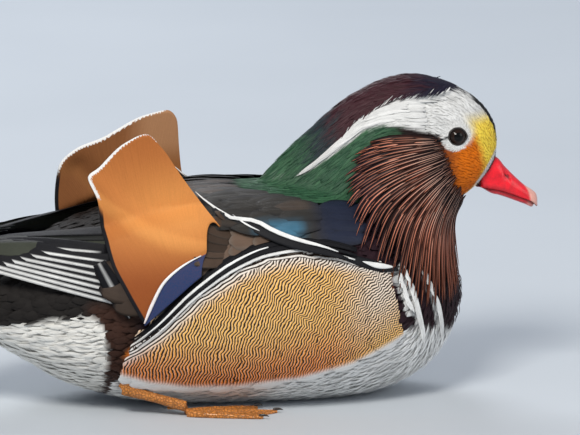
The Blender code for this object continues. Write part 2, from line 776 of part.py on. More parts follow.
# Sails: the shaft, and the inner vane's margin from root over the peak to the tip, x and z
SAIL_SHAFT = ((6, 84), (-10, 79), (-20, 74), (-29, 66), (-34, 57), (-38.5, 47))
SAIL_OUTER = ((6, 82), (-7, 71), (-15, 65), (-23, 58.5), (-30, 52), (-38.4, 46))
SAIL_MARGIN = {
    RIGHT: (
        (3, 91), (-7, 104), (-17, 118), (-26, 131.5), (-34, 138.5), (-45, 133.5),
        (-56, 122.5), (-61.7, 116.5), (-57.5, 104), (-55.5, 89), (-52, 75), (-46, 62), (-38.6, 47.5),
    ),
    LEFT: (
        (3, 91), (-5, 104), (-6.5, 118), (-7.5, 131), (-12.5, 136.5), (-24, 134),
        (-45, 124), (-58, 117.5), (-66, 110.5), (-69, 94), (-67, 78), (-56, 62), (-38.6, 47.5),
    ),
}
SAIL_THICK = 1.0
SAIL_UPRIGHT_AT = 31.0
SAIL_LIFT = 6.4
SAIL_LEAN, SAIL_WAVE = 0.02, 2.5
SAIL_BEND = 6.0


def sail_place(x, z, side, ground):
    """Where the sail stands: against the body low down, then upright clear of the back."""
    spread = SAIL_UPRIGHT_AT + SAIL_LEAN * (z - 100) + SAIL_WAVE * math.sin((x + 60) / 22)
    beside = 0.0
    hit = ground.tree.ray_cast(Vector((x, side * FAR, z)), Vector((0, -side, 0)))[0]
    if hit is not None:
        up = ground.side(x, z, side, 0)[1]
        beside = abs(hit.y) + SAIL_LIFT / max(abs(up.y), 0.45)
    blend = SAIL_BEND * math.log(math.exp((beside - spread) / SAIL_BEND) + 1)
    return np.array([x, side * (spread + blend), z])


def make_sail(word, side, ground, finish, cutters):
    """The raised tertial: a broad inner vane above its shaft, and a narrow outer vane below."""
    steps = 13
    shares = np.linspace(0.02, 0.985, steps)
    columns = (-1.0, 0.0, 0.2, 0.4, 0.6, 0.8, 1.0)
    middle = np.array([[
        sail_place(*sail_point(u, v, side), side, ground) for v in columns] for u in shares])
    down_rows = np.gradient(middle, axis=0)
    over_rows = np.gradient(middle, axis=1)
    way = unit(np.cross(over_rows, down_rows)) * SAIL_THICK / 2
    fused("sail_" + word, [slab(middle - way, middle + way)], finish, cutters)


def sail_point(u, v, side):
    """x and z at u from root to tip. v is -1 at the outer edge, 0 on the shaft, 1 at the margin."""
    shaft = read_line(SAIL_SHAFT, u)
    edge = read_line(SAIL_MARGIN[side] if v > 0 else SAIL_OUTER, u)
    return shaft + (edge - shaft) * abs(v)


# Tail: tiers of quills and coverts, each as feathers, x, half breadth and z at root and tip
TAIL_TIERS = (
    # feathers, rings, notch, root x, breadth, z, tip x, breadth, z, reach of the outer feathers
    (6, 6, 2, -100, 11, 54.0, -163, 34, 55.5, 0.80),
    (6, 6, 2, -97, 10, 56.0, -166, 27, 58.5, 0.86),
    (5, 5, 2, -93, 12, 63.0, -141, 20, 62.0, 0.85),
    (4, 5, 2, -89, 12, 70.0, -122, 17, 66.5, 0.88),
    (4, 5, 2, -93, 13, 37.0, -142, 19, 49.5, 0.85),
)
TAIL_ARCH = 5.0


def tail_tier(count, rings, notch, root_x, root_half, root_z, tip_x, tip_half, tip_z, outer):
    """One fan of tail feathers, arched across the body."""
    def lay(u, v, height):
        across = 2 * v - 1
        half = root_half + (tip_half - root_half) * u
        shorter = 1 - (1 - outer) * across**2
        arch = TAIL_ARCH * across**2 * (half / tip_half)
        x = root_x + (tip_x - root_x) * u * shorter
        return np.array([x, half * across, root_z + (tip_z - root_z) * u - arch + height]), None
    return comb(lay, count, rings, notch, (0, 0, 0), VANE_THICK, 0.97, 0.45, 3.0)


def make_tail(body, finishes):
    """The rump's end with its tiers of quills and of coverts above and below."""
    base = part_of("tail", body, finishes["tail_feather"], (TAIL_CUT, 1))
    points = [tuple(v.co / MM) for v in base.data.vertices]
    pieces = [(points, [tuple(f.vertices) for f in base.data.polygons])]
    bpy.data.objects.remove(base)
    pieces += [tail_tier(*tier) for tier in TAIL_TIERS]
    fused("tail", pieces, finishes["tail_feather"])


# Legs: heel, toe joint and toe tips, with y given outward
HEEL = (-46, 36, 13)
TOE_JOINT = (-16, 43, 4.6)
TOES = ((20, 57), (29, 45), (21, 34))
HIND_TOE = (-24, 35, 2.4)
TARSUS_RADII, THIGH_RADII, HIND_TOE_RADII = (3.4, 2.5, 2.9), (3.2, 4.0, 5.0), (1.9, 1.0)
TOE_HALF, JOINT_HALF = 1.9, 3.2
TOE_HIGH, WEB_HIGH = 3.4, 1.2
TOE_FLANK = 0.62
WEB_NOTCH = 0.12


def limb(path, radii, sides=7):
    """A tapering limb along a path."""
    path = np.array(path, float)
    along = unit(np.gradient(path, axis=0))
    across = unit(np.cross(along, (0, 0, 1)))
    up = np.cross(across, along)
    rings = []
    for place, a, b, radius in zip(path, across, up, radii):
        turn = np.linspace(0, 2 * np.pi, sides, endpoint=False)[:, None]
        rings.append(place + radius * (np.cos(turn) * a + np.sin(turn) * b))
    return loft(rings)


def webbed_foot(side):
    """Three toes and the webs between them, flat on the floor, as one slab."""
    joint = np.array(TOE_JOINT[:2], float)
    lower, upper = [], []
    for t in (0, 0.2, 0.45, 0.7, 0.9, 1.0):
        low_row, high_row = [], []
        for k, tip in enumerate(TOES):
            way = unit(np.array(tip, float) - joint)
            beside = np.array([-way[1], way[0]])
            base = joint + np.array([0, (1 - k) * JOINT_HALF * 0.8])
            middle = base + (np.array(tip) - base) * t
            half = TOE_HALF * (1 - 0.65 * t**3) * (0.5 + 0.5 * min(1, 4 * t))
            for share, rise in ((1, TOE_FLANK), (0, 1.0), (-1, TOE_FLANK)):
                low_row.append([*(middle + beside * half * share), 0])
                high_row.append([0, 0, TOE_HIGH * (1 - 0.45 * t**2) * rise])
            if k < 2:
                across = (np.array(tip) + np.array(TOES[k + 1])) / 2
                web_base = joint + np.array([0, (0.5 - k) * JOINT_HALF * 0.8])
                low_row.append([*(web_base + (across - web_base) * t * (1 - WEB_NOTCH)), 0])
                high_row.append([0, 0, WEB_HIGH if t else TOE_HIGH * TOE_FLANK])
        low_row = np.array(low_row) * (1, side, 1)
        lower.append(low_row)
        upper.append(low_row + np.array(high_row))
    return slab(lower, upper)


def make_leg(word, side, finish, cutters):
    """The tarsus lying along the belly, from the heel to the webbed foot."""
    out = np.array((1, side, 1), float)
    heel, joint = np.array(HEEL) * out, np.array(TOE_JOINT) * out
    pieces = [webbed_foot(side)]
    pieces.append(limb([heel, (heel + joint) / 2, joint], TARSUS_RADII))
    thigh = [heel, heel + out * (4, 1, 6), heel + out * (10, 0, 14)]
    pieces.append(limb(thigh, THIGH_RADII))
    pieces.append(limb([joint, np.array(HIND_TOE) * out], HIND_TOE_RADII, 6))
    fused("leg_" + word, pieces, finish, cutters)


def main():
    clear_scene()
    finishes = make_materials()
    ground, body = flesh_form()
    cut_away(body.data, (0, 0, 0), (0, 0, -1))
    trim = [swollen(body, GAP)]
    make_head(body, finishes, make_bill(finishes))
    part_of("neck", body, finishes["neck_feather"], (NECK_CUT, 1), (HEAD_CUT, -1))
    part_of("torso", body, finishes["breast_feather"], (NECK_CUT, -1), (TAIL_CUT, -1))
    make_tail(body, finishes)
    crest = make_crest(ground, finishes["crest_feather"], trim)
    trim.append(swollen(crest, GAP, "crest_cutter"))
    for word, side in SIDES.items():
        ruff = make_ruff(word, side, ground, finishes["ruff_feather"], trim)
        around = [*trim, swollen(ruff, GAP, "ruff_cutter")]
        flank = make_flank(word, side, ground, finishes["flank_feather"], around)
        around.append(swollen(flank, GAP, "flank_cutter"))
        wing = make_wing(word, side, ground, finishes["wing_feather"], around)
        around.append(swollen(wing, GAP, "wing_cutter"))
        scapulars = make_scapulars(word, side, ground, finishes["scapular_feather"], around)
        around.append(swollen(scapulars, GAP, "scapular_cutter"))
        make_sail(word, side, ground, finishes["sail_feather"], around)
        make_leg(word, side, finishes["foot_skin"], around)
    bpy.data.objects.remove(body)
    for made in list(bpy.data.objects):
        if made.hide_render:
            bpy.data.objects.remove(made)


if __name__ == "__main__":
    main()
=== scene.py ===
"""A drake mandarin duck at rest, as a life-size museum model: plumage, bill, eyes and feet.

The bill points along +X, the bird's left is +Y and the floor is Z = 0.
Sizes in the tables are in millimetres and become metres where a mesh is made.
"""

import math
from contextlib import contextmanager

import bmesh
import bpy
import numpy as np
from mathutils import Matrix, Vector
from mathutils.bvhtree import BVHTree


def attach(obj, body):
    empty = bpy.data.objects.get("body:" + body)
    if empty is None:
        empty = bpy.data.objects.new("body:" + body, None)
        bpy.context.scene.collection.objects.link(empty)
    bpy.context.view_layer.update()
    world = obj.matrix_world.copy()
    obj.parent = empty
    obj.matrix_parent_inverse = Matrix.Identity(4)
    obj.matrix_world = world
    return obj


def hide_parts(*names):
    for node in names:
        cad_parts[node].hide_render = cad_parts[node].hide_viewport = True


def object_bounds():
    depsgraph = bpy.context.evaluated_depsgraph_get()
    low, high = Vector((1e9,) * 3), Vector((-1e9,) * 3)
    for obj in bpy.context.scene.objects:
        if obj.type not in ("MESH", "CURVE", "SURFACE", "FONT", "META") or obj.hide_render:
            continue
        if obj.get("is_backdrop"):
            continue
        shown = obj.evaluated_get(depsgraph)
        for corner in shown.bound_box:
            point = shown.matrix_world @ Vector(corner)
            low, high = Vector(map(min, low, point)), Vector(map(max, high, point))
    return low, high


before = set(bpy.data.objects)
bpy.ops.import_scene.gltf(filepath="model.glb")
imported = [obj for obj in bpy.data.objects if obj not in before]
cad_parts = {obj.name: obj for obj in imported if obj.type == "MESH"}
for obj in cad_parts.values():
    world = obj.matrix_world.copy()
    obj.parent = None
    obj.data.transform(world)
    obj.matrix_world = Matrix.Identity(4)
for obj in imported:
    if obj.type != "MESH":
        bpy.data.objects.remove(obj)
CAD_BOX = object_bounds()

bl_info = {
    "name": "Mandarin duck model",
    "version": (1, 0, 0),
    "blender": (4, 5, 0),
    "location": "3D View > Sidebar > Duck",
    "description": "Dresses the solid model of a mandarin drake in feathers, bill, eyes and feet",
    "category": "Object",
}

MM = 0.001
BODY = "root"
RIGHT, LEFT = -1, 1
SIDES = {"right": RIGHT, "left": LEFT}
PATCH = 0.003  # share of the bake map that one feather gets
RING_SIDES = 72

# Torso lines: x, top, bottom, height of the widest place, half width
TORSO = (
    (-131, 53, 51, 52, 1),
    (-126, 58, 46, 52, 9),
    (-112, 65, 38, 52, 20),
    (-90, 76, 24, 50, 33),
    (-62, 90, 8, 48, 44.5),
    (-30, 100, 0, 47, 51.5),
    (5, 104, -2.2, 47, 54.5),
    (40, 104, -2.4, 48, 54.5),
    (70, 101, -1.2, 49, 51.5),
    (94, 93, 4, 50, 44),
    (111, 81, 14, 51, 33.5),
    (122, 68, 28, 50, 20),
    (127.5, 56, 42, 50, 9),
    (128.5, 51, 49, 50, 1),
)
TORSO_POWER = 2.25

# Head and neck lines, level by level: z, back, front, half width
HOOD = (
    (48, 45, 122, 40),
    (62, 36, 122.5, 38),
    (72, 31, 121.5, 34),
    (82, 27, 121, 30),
    (90, 25, 123, 27),
    (97, 25, 131, 25),
    (104, 27, 140.5, 23),
    (112, 33, 146, 21.5),
    (120, 41, 147, 20.5),
    (129, 51, 146.2, 19.7),
    (137, 60, 142.8, 18),
    (144, 69, 137, 15.5),
    (150, 80, 128, 12),
    (154, 90, 117, 8),
    (156, 101, 107, 1.5),
)
HOOD_REAR_TAPER = 0.85
HOOD_FRONT_ROUND = 0.5
NECK_POINT, NECK_WAY = (80, 0, 86), (0.36, 0, 0.93)
# Painted shade: the face's white and the band's white hairs are darkened to this share of the plumage white,
# since the face takes more light from above than the other white parts.
FACE_SHADE = 0.84

# Bill lines: x, top of the culmen, cutting edge, half width
UPPER_BILL = (
    (137, 117, 100.2, 8.0),
    (146, 114, 98.4, 7.9),
    (150, 109.4, 97, 7.3),
    (155, 104.2, 95, 6.7),
    (160, 99.6, 93, 6.3),
    (163.5, 97.2, 91.2, 5.2),
    (165.6, 95.4, 89.8, 3.2),
    (166.4, 93.4, 89.6, 1.2),
)
BILL_ROOT = np.array((152.0, 0.0, 103.0))
BILL_FOOT, BILL_WAY = np.array((139.0, 0.0, 106.0)), np.array((0.82, 0.0, -0.57))
BILL_SUNK = 0.0022
NOSTRIL = (150.2, 4.6, 105.2)
EYE_MIDDLE, BALL_RADIUS = np.array((122.7, 14.8, 128.4)), 5.0

# Marking lines seen from the side, as x and z
BAND_TOP = (
    (45, 109), (52.3, 114.8), (60.2, 121.7), (67.6, 128.9), (72.2, 134.1), (77, 138), (86, 143.3),
    (94.3, 147.1), (106.5, 148.8), (120.5, 149.7), (126.5, 148.5), (132.7, 145.7), (139, 141),
    (141.8, 136.2), (143.6, 130),
)
BAND_BOTTOM = (
    (45, 109), (55, 115.4), (64, 121.8), (70.7, 126.7), (76.6, 131.6), (85.3, 134.2), (93.8, 134.1),
    (101.5, 132.4), (108.8, 130.6), (114, 128.9), (116.2, 126), (119.8, 123.4), (123.4, 122),
    (126.9, 122), (130.5, 124), (133, 128), (137, 131), (144, 133),
)
NAPE_EDGE = ((15, 105.5), (24, 104.1), (27.6, 103.5), (39.3, 100.7), (52.2, 97.5), (65.4, 95.2), (72, 99))
NAPE_FRONT = ((66, 95), (68, 104), (72, 110), (78, 117), (84, 123), (90, 128), (97, 131.5))
BREAST_BARS = (
    ((88.5, 67), (89.2, 63.2), (92.1, 55.4), (95.1, 47.3)),
    ((91, 70), (92, 66), (94.5, 60.6), (97.3, 51.2), (100.8, 36.3), (101.5, 30)),
    ((101.5, 67), (102.6, 63.8), (105.1, 58.3), (108.7, 50.7), (111.5, 37.8), (112, 30)),
)
VENT_LINE = (
    (-131, 44), (-105, 44.4), (-93.2, 46.2), (-80.8, 49.8), (-63.1, 51.6), (-57.5, 50.2), (-54.4, 44.8),
    (-52, 30), (-46, 14),
)
BELLY_LINE = ((-60, 16), (-30, 18), (8, 15), (60, 25), (84, 36), (96, 39), (104, 37), (116, 34), (128, 34))

# Ruff: roots along the cheek's edge and tips round the neck, as x and z
RUFF_ROOTS = ((111, 129), (114, 124.5), (117.5, 117), (120.5, 108.5), (124.5, 101), (129, 95.5))
RUFF_TIPS = (
    (79, 127), (71, 117), (66, 101), (68, 85), (79, 69), (94, 55), (106, 48), (116, 48), (123, 54))
# Layers of hackles, the longest first: reach, height over the skin at the roots and at the tips
RUFF_LAYERS = (
    (1.0, 0.9, 2.2), (0.96, 1.3, 2.7), (0.9, 1.7, 3.2), (0.8, 2.1, 3.7), (0.62, 2.3, 3.9), (0.4, 2.0, 3.4))

# Flank: upper and lower edge of the buff panel, as x and z
FLANK_TOP = ((86, 70.5), (70, 74), (56, 78), (40, 80.5), (24, 79), (8, 74), (-12, 62), (-32, 44), (-52, 30))
FLANK_BOTTOM = ((93, 37), (66, 24), (38, 17), (8, 14), (-14, 14), (-34, 17), (-57, 24))
BAR_CENTRE = (120.0, 5.0)

# Sails: the shaft, the outer web's edge and the inner web's margin, as x and z
SAIL_SHAFT = ((6, 87), (-10, 81.5), (-20, 76.5), (-29, 69), (-34.5, 59.5), (-39, 49))
SAIL_OUTER = ((6, 84), (-7, 74.5), (-15, 68.5), (-23, 61.8), (-31, 55), (-38.9, 48))
SAIL_COVERTS = ((0, 94), (-7, 89.5), (-10.5, 83), (-12.5, 77), (-13, 74))
SAIL_MARGIN = {
    RIGHT: (
        (3, 91), (-7, 104), (-17, 118), (-26, 131.5), (-34, 138.5), (-45, 133.5),
        (-56, 122.5), (-61.7, 117), (-57, 105), (-55.6, 91), (-53.2, 78), (-47, 64.5), (-39, 49.5),
    ),
    LEFT: (
        (3, 91), (-5, 104), (-6.5, 118), (-7.5, 131), (-12.5, 136.5), (-24, 134),
        (-45, 124), (-58, 119.5), (-67, 110.5), (-69, 94), (-67, 78), (-56, 62), (-39, 49.5),
    ),
}
SAIL_UPRIGHT_AT, SAIL_LIFT = 31.0, 6.4
SAIL_FOLD = ((-60, 112), (-50, 103), (-38, 96), (-24, 90), (-10, 87))
SAIL_ROWS, SAIL_COLUMNS, SAIL_THICK = 110, 49, 0.9
# The sail's white fringe: where along the margin it starts and ends with its fade, and its width by x
SAIL_FRINGE = {
    RIGHT: ((0.27, 0.66, 0.05), ((-64, 0.42), (-58, 0.5), (-46, 0.32), (-36, 0.08), (-30, 0.0))),
    LEFT: ((0.33, 0.70, 0.04), ((-66, 0.35), (-50, 0.45), (-30, 0.35), (-10, 0.08))),
}

# White shoulder stripes, front end first, as x and z, with the half width, and the black ones below
STRIPES = (
    (((57, 78), (49.7, 80.6), (42.6, 82.4), (33.4, 85), (26.3, 87.6), (20, 90.7), (13.4, 93.6), (6, 97.5),
      (-3, 103), (-9, 108.5)), 1.2),
    (((20, 87.4), (16, 89), (12, 91), (8, 93.6)), 0.5),
    (((85, 70), (77.2, 71.4), (69.6, 73.8)), 1.4),
)
STRIPE_SHADES = (
    (((62, 75), (49.7, 78.8), (33.4, 83.2), (20, 88.4), (8.1, 94), (-2, 100.5), (-8, 106)), 2.9),
    (((88, 68.5), (78, 71), (66, 75), (56, 78.5)), 2.6),
)

# Folded wing: the upper edge that its coverts leave, as x and z
WING_EDGE = ((58, 79.5), (38, 81.5), (8, 76.5), (-12, 64.5), (-32, 46.5), (-52, 34))
# Quills along the flank's upper edge: how far beyond it, height over the skin, half width, first step, white
SECONDARY_QUILLS = (
    (4.4, 2.6, 1.8, 0, 0), (3.4, 3.3, 1.8, 0, 0), (2.6, 3.9, 0.7, 11, 1), (1.4, 3.6, 1.5, 0, 0),
    (-0.4, 3.1, 0.9, 0, 1),
)
# Quill fans, each value for the first and for the last quill: root x and z, height over the skin, tip,
# bulge, facing, lift the way that it faces, half width
PRIMARY_FAN = (
    ((-38, 57.5), (-52, 80)), (1.6, 3.56), ((-141, 8, 82.5), (-104, 13, 83.5)), ((0, 6, 1.5), (0, 4, 1.5)),
    ((0.1, 0.9, 0.35), (0.1, 0.9, 0.7)), (0, 1.75), (4.2, 3.3),
)
INNER_FAN = (
    ((-34, 80), (-42, 88)), (2.4, 3.4), ((-128, 13, 81), (-102, 8, 84)), ((0, 3, 1.5), (0, 3, 0.5)),
    ((0.1, 0.75, 0.55), (0.1, 0.25, 1)), (0, 1.5), (4.8, 3.8),
)
# Feathers over the roots of the primaries: root and tip as x and z, half width
WRIST_FEATHERS = (
    ((-34, 70), (-59.5, 71.5), 6.5), ((-34, 62), (-58, 64.5), 6.0), ((-33, 56), (-52, 57.5), 4.5))
TERTIAL_ASIDE = {RIGHT: 49.5, LEFT: 41.5}

# Tail: tiers as feathers, root x, half breadth and z, the same at the tip, reach of the outer ones
TAIL_TIERS = (
    (14, -100, 11, 54.0, -163, 34, 55.5, .80),
    (12, -97, 10, 56.0, -166, 27, 58.5, .86),
    (10, -93, 12, 63.0, -141, 20, 62.0, .85),
    (8, -89, 12, 70.0, -122, 17, 66.5, .88),
    (10, -93, 13, 37.0, -142, 19, 49.5, .85),
)
TAIL_ARCH = 5.0


def eased(rows, count):
    """Rows of sizes joined by one smooth curve for each column, read at count even steps."""
    rows = np.array(rows, float)
    steps = np.diff(rows, axis=0)
    slopes = np.zeros_like(rows)
    before, after = steps[:-1], steps[1:]
    same_way = before * after > 0
    total = np.where(same_way, before + after, 1)
    slopes[1:-1] = np.where(same_way, 2 * before * after / total, 0)
    slopes[0], slopes[-1] = steps[0], steps[-1]
    at = np.linspace(0, len(rows) - 1, count)
    i = np.minimum(at.astype(int), len(rows) - 2)
    t = (at - i)[:, None]
    return (
        rows[i] * (1 + 2 * t) * (1 - t) ** 2
        + slopes[i] * t * (1 - t) ** 2
        + rows[i + 1] * t**2 * (3 - 2 * t)
        + slopes[i + 1] * t**2 * (t - 1)
    )


STORE = {}


def once(key, make, *given):
    """What a function makes, made at its first use and kept."""
    if key not in STORE:
        STORE[key] = make(*given)
    return STORE[key]


def read_line(rows, share):
    """Places at shares of the way along a smooth line through rows."""
    line = once(rows, eased, rows, 201)
    at = np.clip(np.asarray(share, float), 0, 1) * 200
    i = np.minimum(at.astype(int), 199)
    t = (at - i)[..., None]
    return line[i] * (1 - t) + line[i + 1] * t


def unit(v):
    v = np.asarray(v, float)
    return v / np.maximum(np.linalg.norm(v, axis=-1, keepdims=True), 1e-9)


def rounded(value, power):
    return np.sign(value) * np.abs(value) ** (2 / power)


def smooth(value):
    t = np.clip(value, 0, 1)
    return t * t * (3 - 2 * t)


def mix(a, b, share):
    share = np.asarray(share, float)[..., None]
    return np.asarray(a, float) * (1 - share) + np.asarray(b, float) * share


def bezier(a, b, c, d, t):
    t = t[..., None]
    return a * (1 - t) ** 3 + 3 * b * t * (1 - t) ** 2 + 3 * c * t**2 * (1 - t) + d * t**3


def height_of(line, x):
    """The height of a marking line at x."""
    line = np.array(sorted(line))
    return np.interp(x, line[:, 0], line[:, 1])


def line_distance(line, x, z):
    """How far places lie from a line seen from the side."""
    line = np.array(line, float)
    place = np.stack([x, z], axis=-1)
    best = np.full(np.shape(x), 1e9)
    for a, b in zip(line[:-1], line[1:]):
        way = b - a
        t = np.clip(((place - a) @ way) / (way @ way), 0, 1)
        best = np.minimum(best, np.linalg.norm(place - a - t[..., None] * way, axis=-1))
    return best


# ---- Meshes ----

def turns(count):
    """Angles of count even steps round a circle."""
    return np.linspace(0, 2 * np.pi, count, endpoint=False)


def torso_ring(x, top, bottom, wide, half):
    angle = turns(RING_SIDES)
    across, up = rounded(np.cos(angle), TORSO_POWER), rounded(np.sin(angle), TORSO_POWER)
    height = np.where(up > 0, top - wide, wide - bottom)
    return np.stack([np.full(RING_SIDES, x), half * across, wide + height * up], axis=1)


def hood_ring(z, back, front, half):
    """A level of the head and neck: an egg, blunt in front and drawn out to the nape."""
    turn = turns(RING_SIDES)
    along = 0.5 + 0.5 * np.cos(turn)
    widest = HOOD_REAR_TAPER / (HOOD_REAR_TAPER + HOOD_FRONT_ROUND)
    spread = (along / widest) ** HOOD_REAR_TAPER
    spread *= ((1 - along) / (1 - widest)) ** HOOD_FRONT_ROUND
    x = back + (front - back) * along
    return np.stack([x, half * spread * np.sign(np.sin(turn)), np.full(RING_SIDES, z)], axis=1)


def loft(rings):
    """A closed skin over rings of equal count, with a fan at each end."""
    rings = np.asarray(rings, float)
    count, sides = rings.shape[:2]
    points = [*rings.reshape(-1, 3), rings[0].mean(axis=0), rings[-1].mean(axis=0)]
    first, last = count * sides, count * sides + 1
    faces = []
    for k in range(sides):
        j = (k + 1) % sides
        faces.append((first, j, k))
        faces.append((last, (count - 1) * sides + k, (count - 1) * sides + j))
        for i in range(count - 1):
            a, b = i * sides + k, i * sides + j
            faces.append((a, b, b + sides, a + sides))
    return points, faces


@contextmanager
def opened(mesh):
    """A mesh as an editable shape, which is written back at the end."""
    shape = bmesh.new()
    shape.from_mesh(mesh)
    yield shape
    shape.to_mesh(mesh)
    shape.free()


def mesh_of(name, points, faces):
    """A mesh from places in millimetres, its doubles merged and its faces turned outwards."""
    mesh = bpy.data.meshes.new(name)
    mesh.from_pydata([tuple(float(c) * MM for c in p) for p in points], [], faces)
    with opened(mesh) as shape:
        bmesh.ops.remove_doubles(shape, verts=shape.verts, dist=1e-7)
        bmesh.ops.recalc_face_normals(shape, faces=shape.faces)
    return mesh


def add_object(name, data):
    made = bpy.data.objects.new(name, data)
    bpy.context.scene.collection.objects.link(made)
    return made


def evaluated(made):
    """Applies an object's modifiers."""
    graph = bpy.context.evaluated_depsgraph_get()
    mesh = bpy.data.meshes.new_from_object(made.evaluated_get(graph))
    made.modifiers.clear()
    made.data = mesh
    return made


def read_field(items, field, width=1, kind=np.float32):
    """One field of many items, as rows of the given width."""
    found = np.zeros(len(items) * width, kind)
    items.foreach_get(field, found)
    return found.reshape(-1, width) if width > 1 else found


def places(mesh):
    """A mesh's vertices in millimetres."""
    return read_field(mesh.vertices, "co", 3).astype(float) / MM


def shade_smooth(mesh):
    mesh.polygons.foreach_set("use_smooth", np.ones(len(mesh.polygons), bool))


def set_places(mesh, points):
    mesh.vertices.foreach_set("co", (np.asarray(points) * MM).astype(np.float32).ravel())
    mesh.update()


def put_attribute(mesh, name, values, kind="FLOAT"):
    """Stores a value, a vector or a colour on each vertex."""
    if name in mesh.attributes:
        mesh.attributes.remove(mesh.attributes[name])
    stored = mesh.attributes.new(name, kind, "POINT")
    values = np.asarray(values, np.float32)
    if kind == "FLOAT_COLOR":
        values = np.concatenate([values[:, :3], np.ones((len(values), 1), np.float32)], axis=1)
    field = {"FLOAT": "value", "FLOAT_VECTOR": "vector", "FLOAT_COLOR": "color"}[kind]
    stored.data.foreach_set(field, values.ravel())


def put_uv(mesh, name, per_corner):
    """A UV map from one place for each corner."""
    mesh.uv_layers.new(name=name).data.foreach_set("uv", per_corner.astype(np.float32).ravel())


def corners_of(mesh):
    """The vertex at each corner of the faces."""
    return read_field(mesh.loops, "vertex_index", kind=np.int32)


def ground_uv(points, face_of=None):
    """An unwrap of the skin's own shape: the torso round its length, the head round its own line."""
    anchor = points if face_of is None else face_of
    head = (anchor - NECK_POINT) @ np.array(NECK_WAY) > 0
    u, v = np.zeros(len(points)), np.zeros(len(points))
    way = unit((110.0, 0.0, 28.0))
    for chart, start, axis, length, low, high in (
        (~head, np.array((-135.0, 0, 50)), np.array((1.0, 0, 0)), 270.0, 0.02, 0.55),
        (head, np.array((40.0, 0, 98.0)) - way * 30, way, 150.0, 0.58, 0.98),
    ):
        up = np.cross(axis, (0, 1, 0)) * -1
        angle, held = (np.arctan2(p[:, 1], p @ up) for p in (points - start, anchor - start))
        angle = np.where(angle - held > np.pi, angle - 2 * np.pi, angle)
        angle = np.where(angle - held < -np.pi, angle + 2 * np.pi, angle)
        along = (points - start) @ axis / length
        u = np.where(chart, 0.5 + 0.46 * angle / np.pi, u)
        v = np.where(chart, low + (high - low) * np.clip(along, 0, 1), v)
    return np.clip(np.stack([u, v], axis=1), 0, 1)


class Ground:
    """The smooth skin that every feather is laid on. Its places are in millimetres."""

    def __init__(self, mesh):
        mesh.calc_loop_triangles()
        self.points = [v.co / MM for v in mesh.vertices]
        self.normals = [v.normal.copy() for v in mesh.vertices]
        self.faces = [tuple(t.vertices) for t in mesh.loop_triangles]
        self.tree = BVHTree.FromPolygons(self.points, self.faces)

    def normal(self, place, face):
        """The skin's direction, blended between the corners of a face."""
        corners = self.faces[face]
        near = [1 / (0.05 + (place - self.points[c]).length) for c in corners]
        return sum((self.normals[c] * w for c, w in zip(corners, near)), Vector()).normalized()

    def near(self, point, height=0.0):
        place, _, face, _ = self.tree.find_nearest(Vector(point))
        up = self.normal(place, face)
        return place + up * height, up

    def met(self, start, way, centre, height):
        place, _, face, _ = self.tree.ray_cast(start, way)
        if place is None:
            return self.near(centre, height)
        up = self.normal(place, face)
        return place + up * height, up

    def side(self, x, z, side, height=0.0):
        """The skin seen from one side at x and z."""
        return self.met(Vector((x, side * 200, z)), Vector((0, -side, 0)), (x, side * 6, z), height)

    def around(self, x, degrees, side, height=0.0):
        """The skin at x, met from an angle above the level through the torso's middle."""
        angle = math.radians(degrees)
        way = Vector((0, side * math.cos(angle), math.sin(angle)))
        centre = Vector((x, 0, 50))
        return self.met(centre + way * 200, -way, centre + way * 30, height)


def grow_ground():
    """The skin's smooth form, grown from the torso's and the head's lines."""
    body = add_object("flesh", mesh_of("flesh", *loft([torso_ring(*row) for row in eased(TORSO, 90)])))
    with opened(body.data) as shape:
        shape.from_mesh(mesh_of("hood", *loft([hood_ring(*row) for row in eased(HOOD, 72)])))
    grown_skin = body.modifiers.new("grown", "REMESH")
    grown_skin.mode, grown_skin.voxel_size = "VOXEL", 1.6 * MM
    eased_skin = body.modifiers.new("eased", "SMOOTH")
    eased_skin.factor, eased_skin.iterations = 0.5, 24
    STORE["flesh"] = evaluated(body).data
    bpy.data.objects.remove(body)
    return Ground(STORE["flesh"])


def the_ground():
    """The one ground that all pieces share."""
    return once("ground", grow_ground)


def laid(path, heights, side):
    """Places over the skin, and the ways that it faces there, along x and z seen from one side."""
    heights = np.broadcast_to(heights, len(path))
    found = [the_ground().side(x, z, side, height) for (x, z), height in zip(path, heights)]
    return np.array(found, float).swapaxes(0, 1)


# ---- The lie of the coat and its markings ----

def lie(points):
    """The way the feathers point, at places in millimetres."""
    x, y, z = points.T
    way = np.zeros_like(points) + (-1.0, 0, -0.12)
    way = mix(way, (-0.35, 0, -1.0), smooth((x - 88) / 24) * smooth((104 - z) / 10))
    hood = smooth((z - 96) / 8) * smooth((x - 18) / 10)
    drop = 0.9 * smooth((100 - x) / 34) + 0.5 * smooth((104 - z) / 8)
    way = mix(way, np.stack([-np.ones_like(x), 0 * x, -drop], axis=1), hood)
    from_bill = unit(points - BILL_ROOT)
    way = mix(unit(way), from_bill, smooth((x - 104) / 26) * smooth((z - 92) / 8))
    beside_eye = points - np.where(y[:, None] < 0, EYE_MIDDLE * (1, -1, 1), EYE_MIDDLE)
    reach = np.linalg.norm(beside_eye, axis=1)
    way = mix(unit(way), unit(beside_eye), 0.75 * smooth((10.5 - reach) / 5))
    return unit(way)


def hashed(values, seed=0.0):
    """A repeatable number from 0 to 1 for each place."""
    values = np.asarray(values, float)
    total = np.sin(values @ np.array((12.9898, 78.233, 37.719)) + seed) * 43758.5453
    return total - np.floor(total)


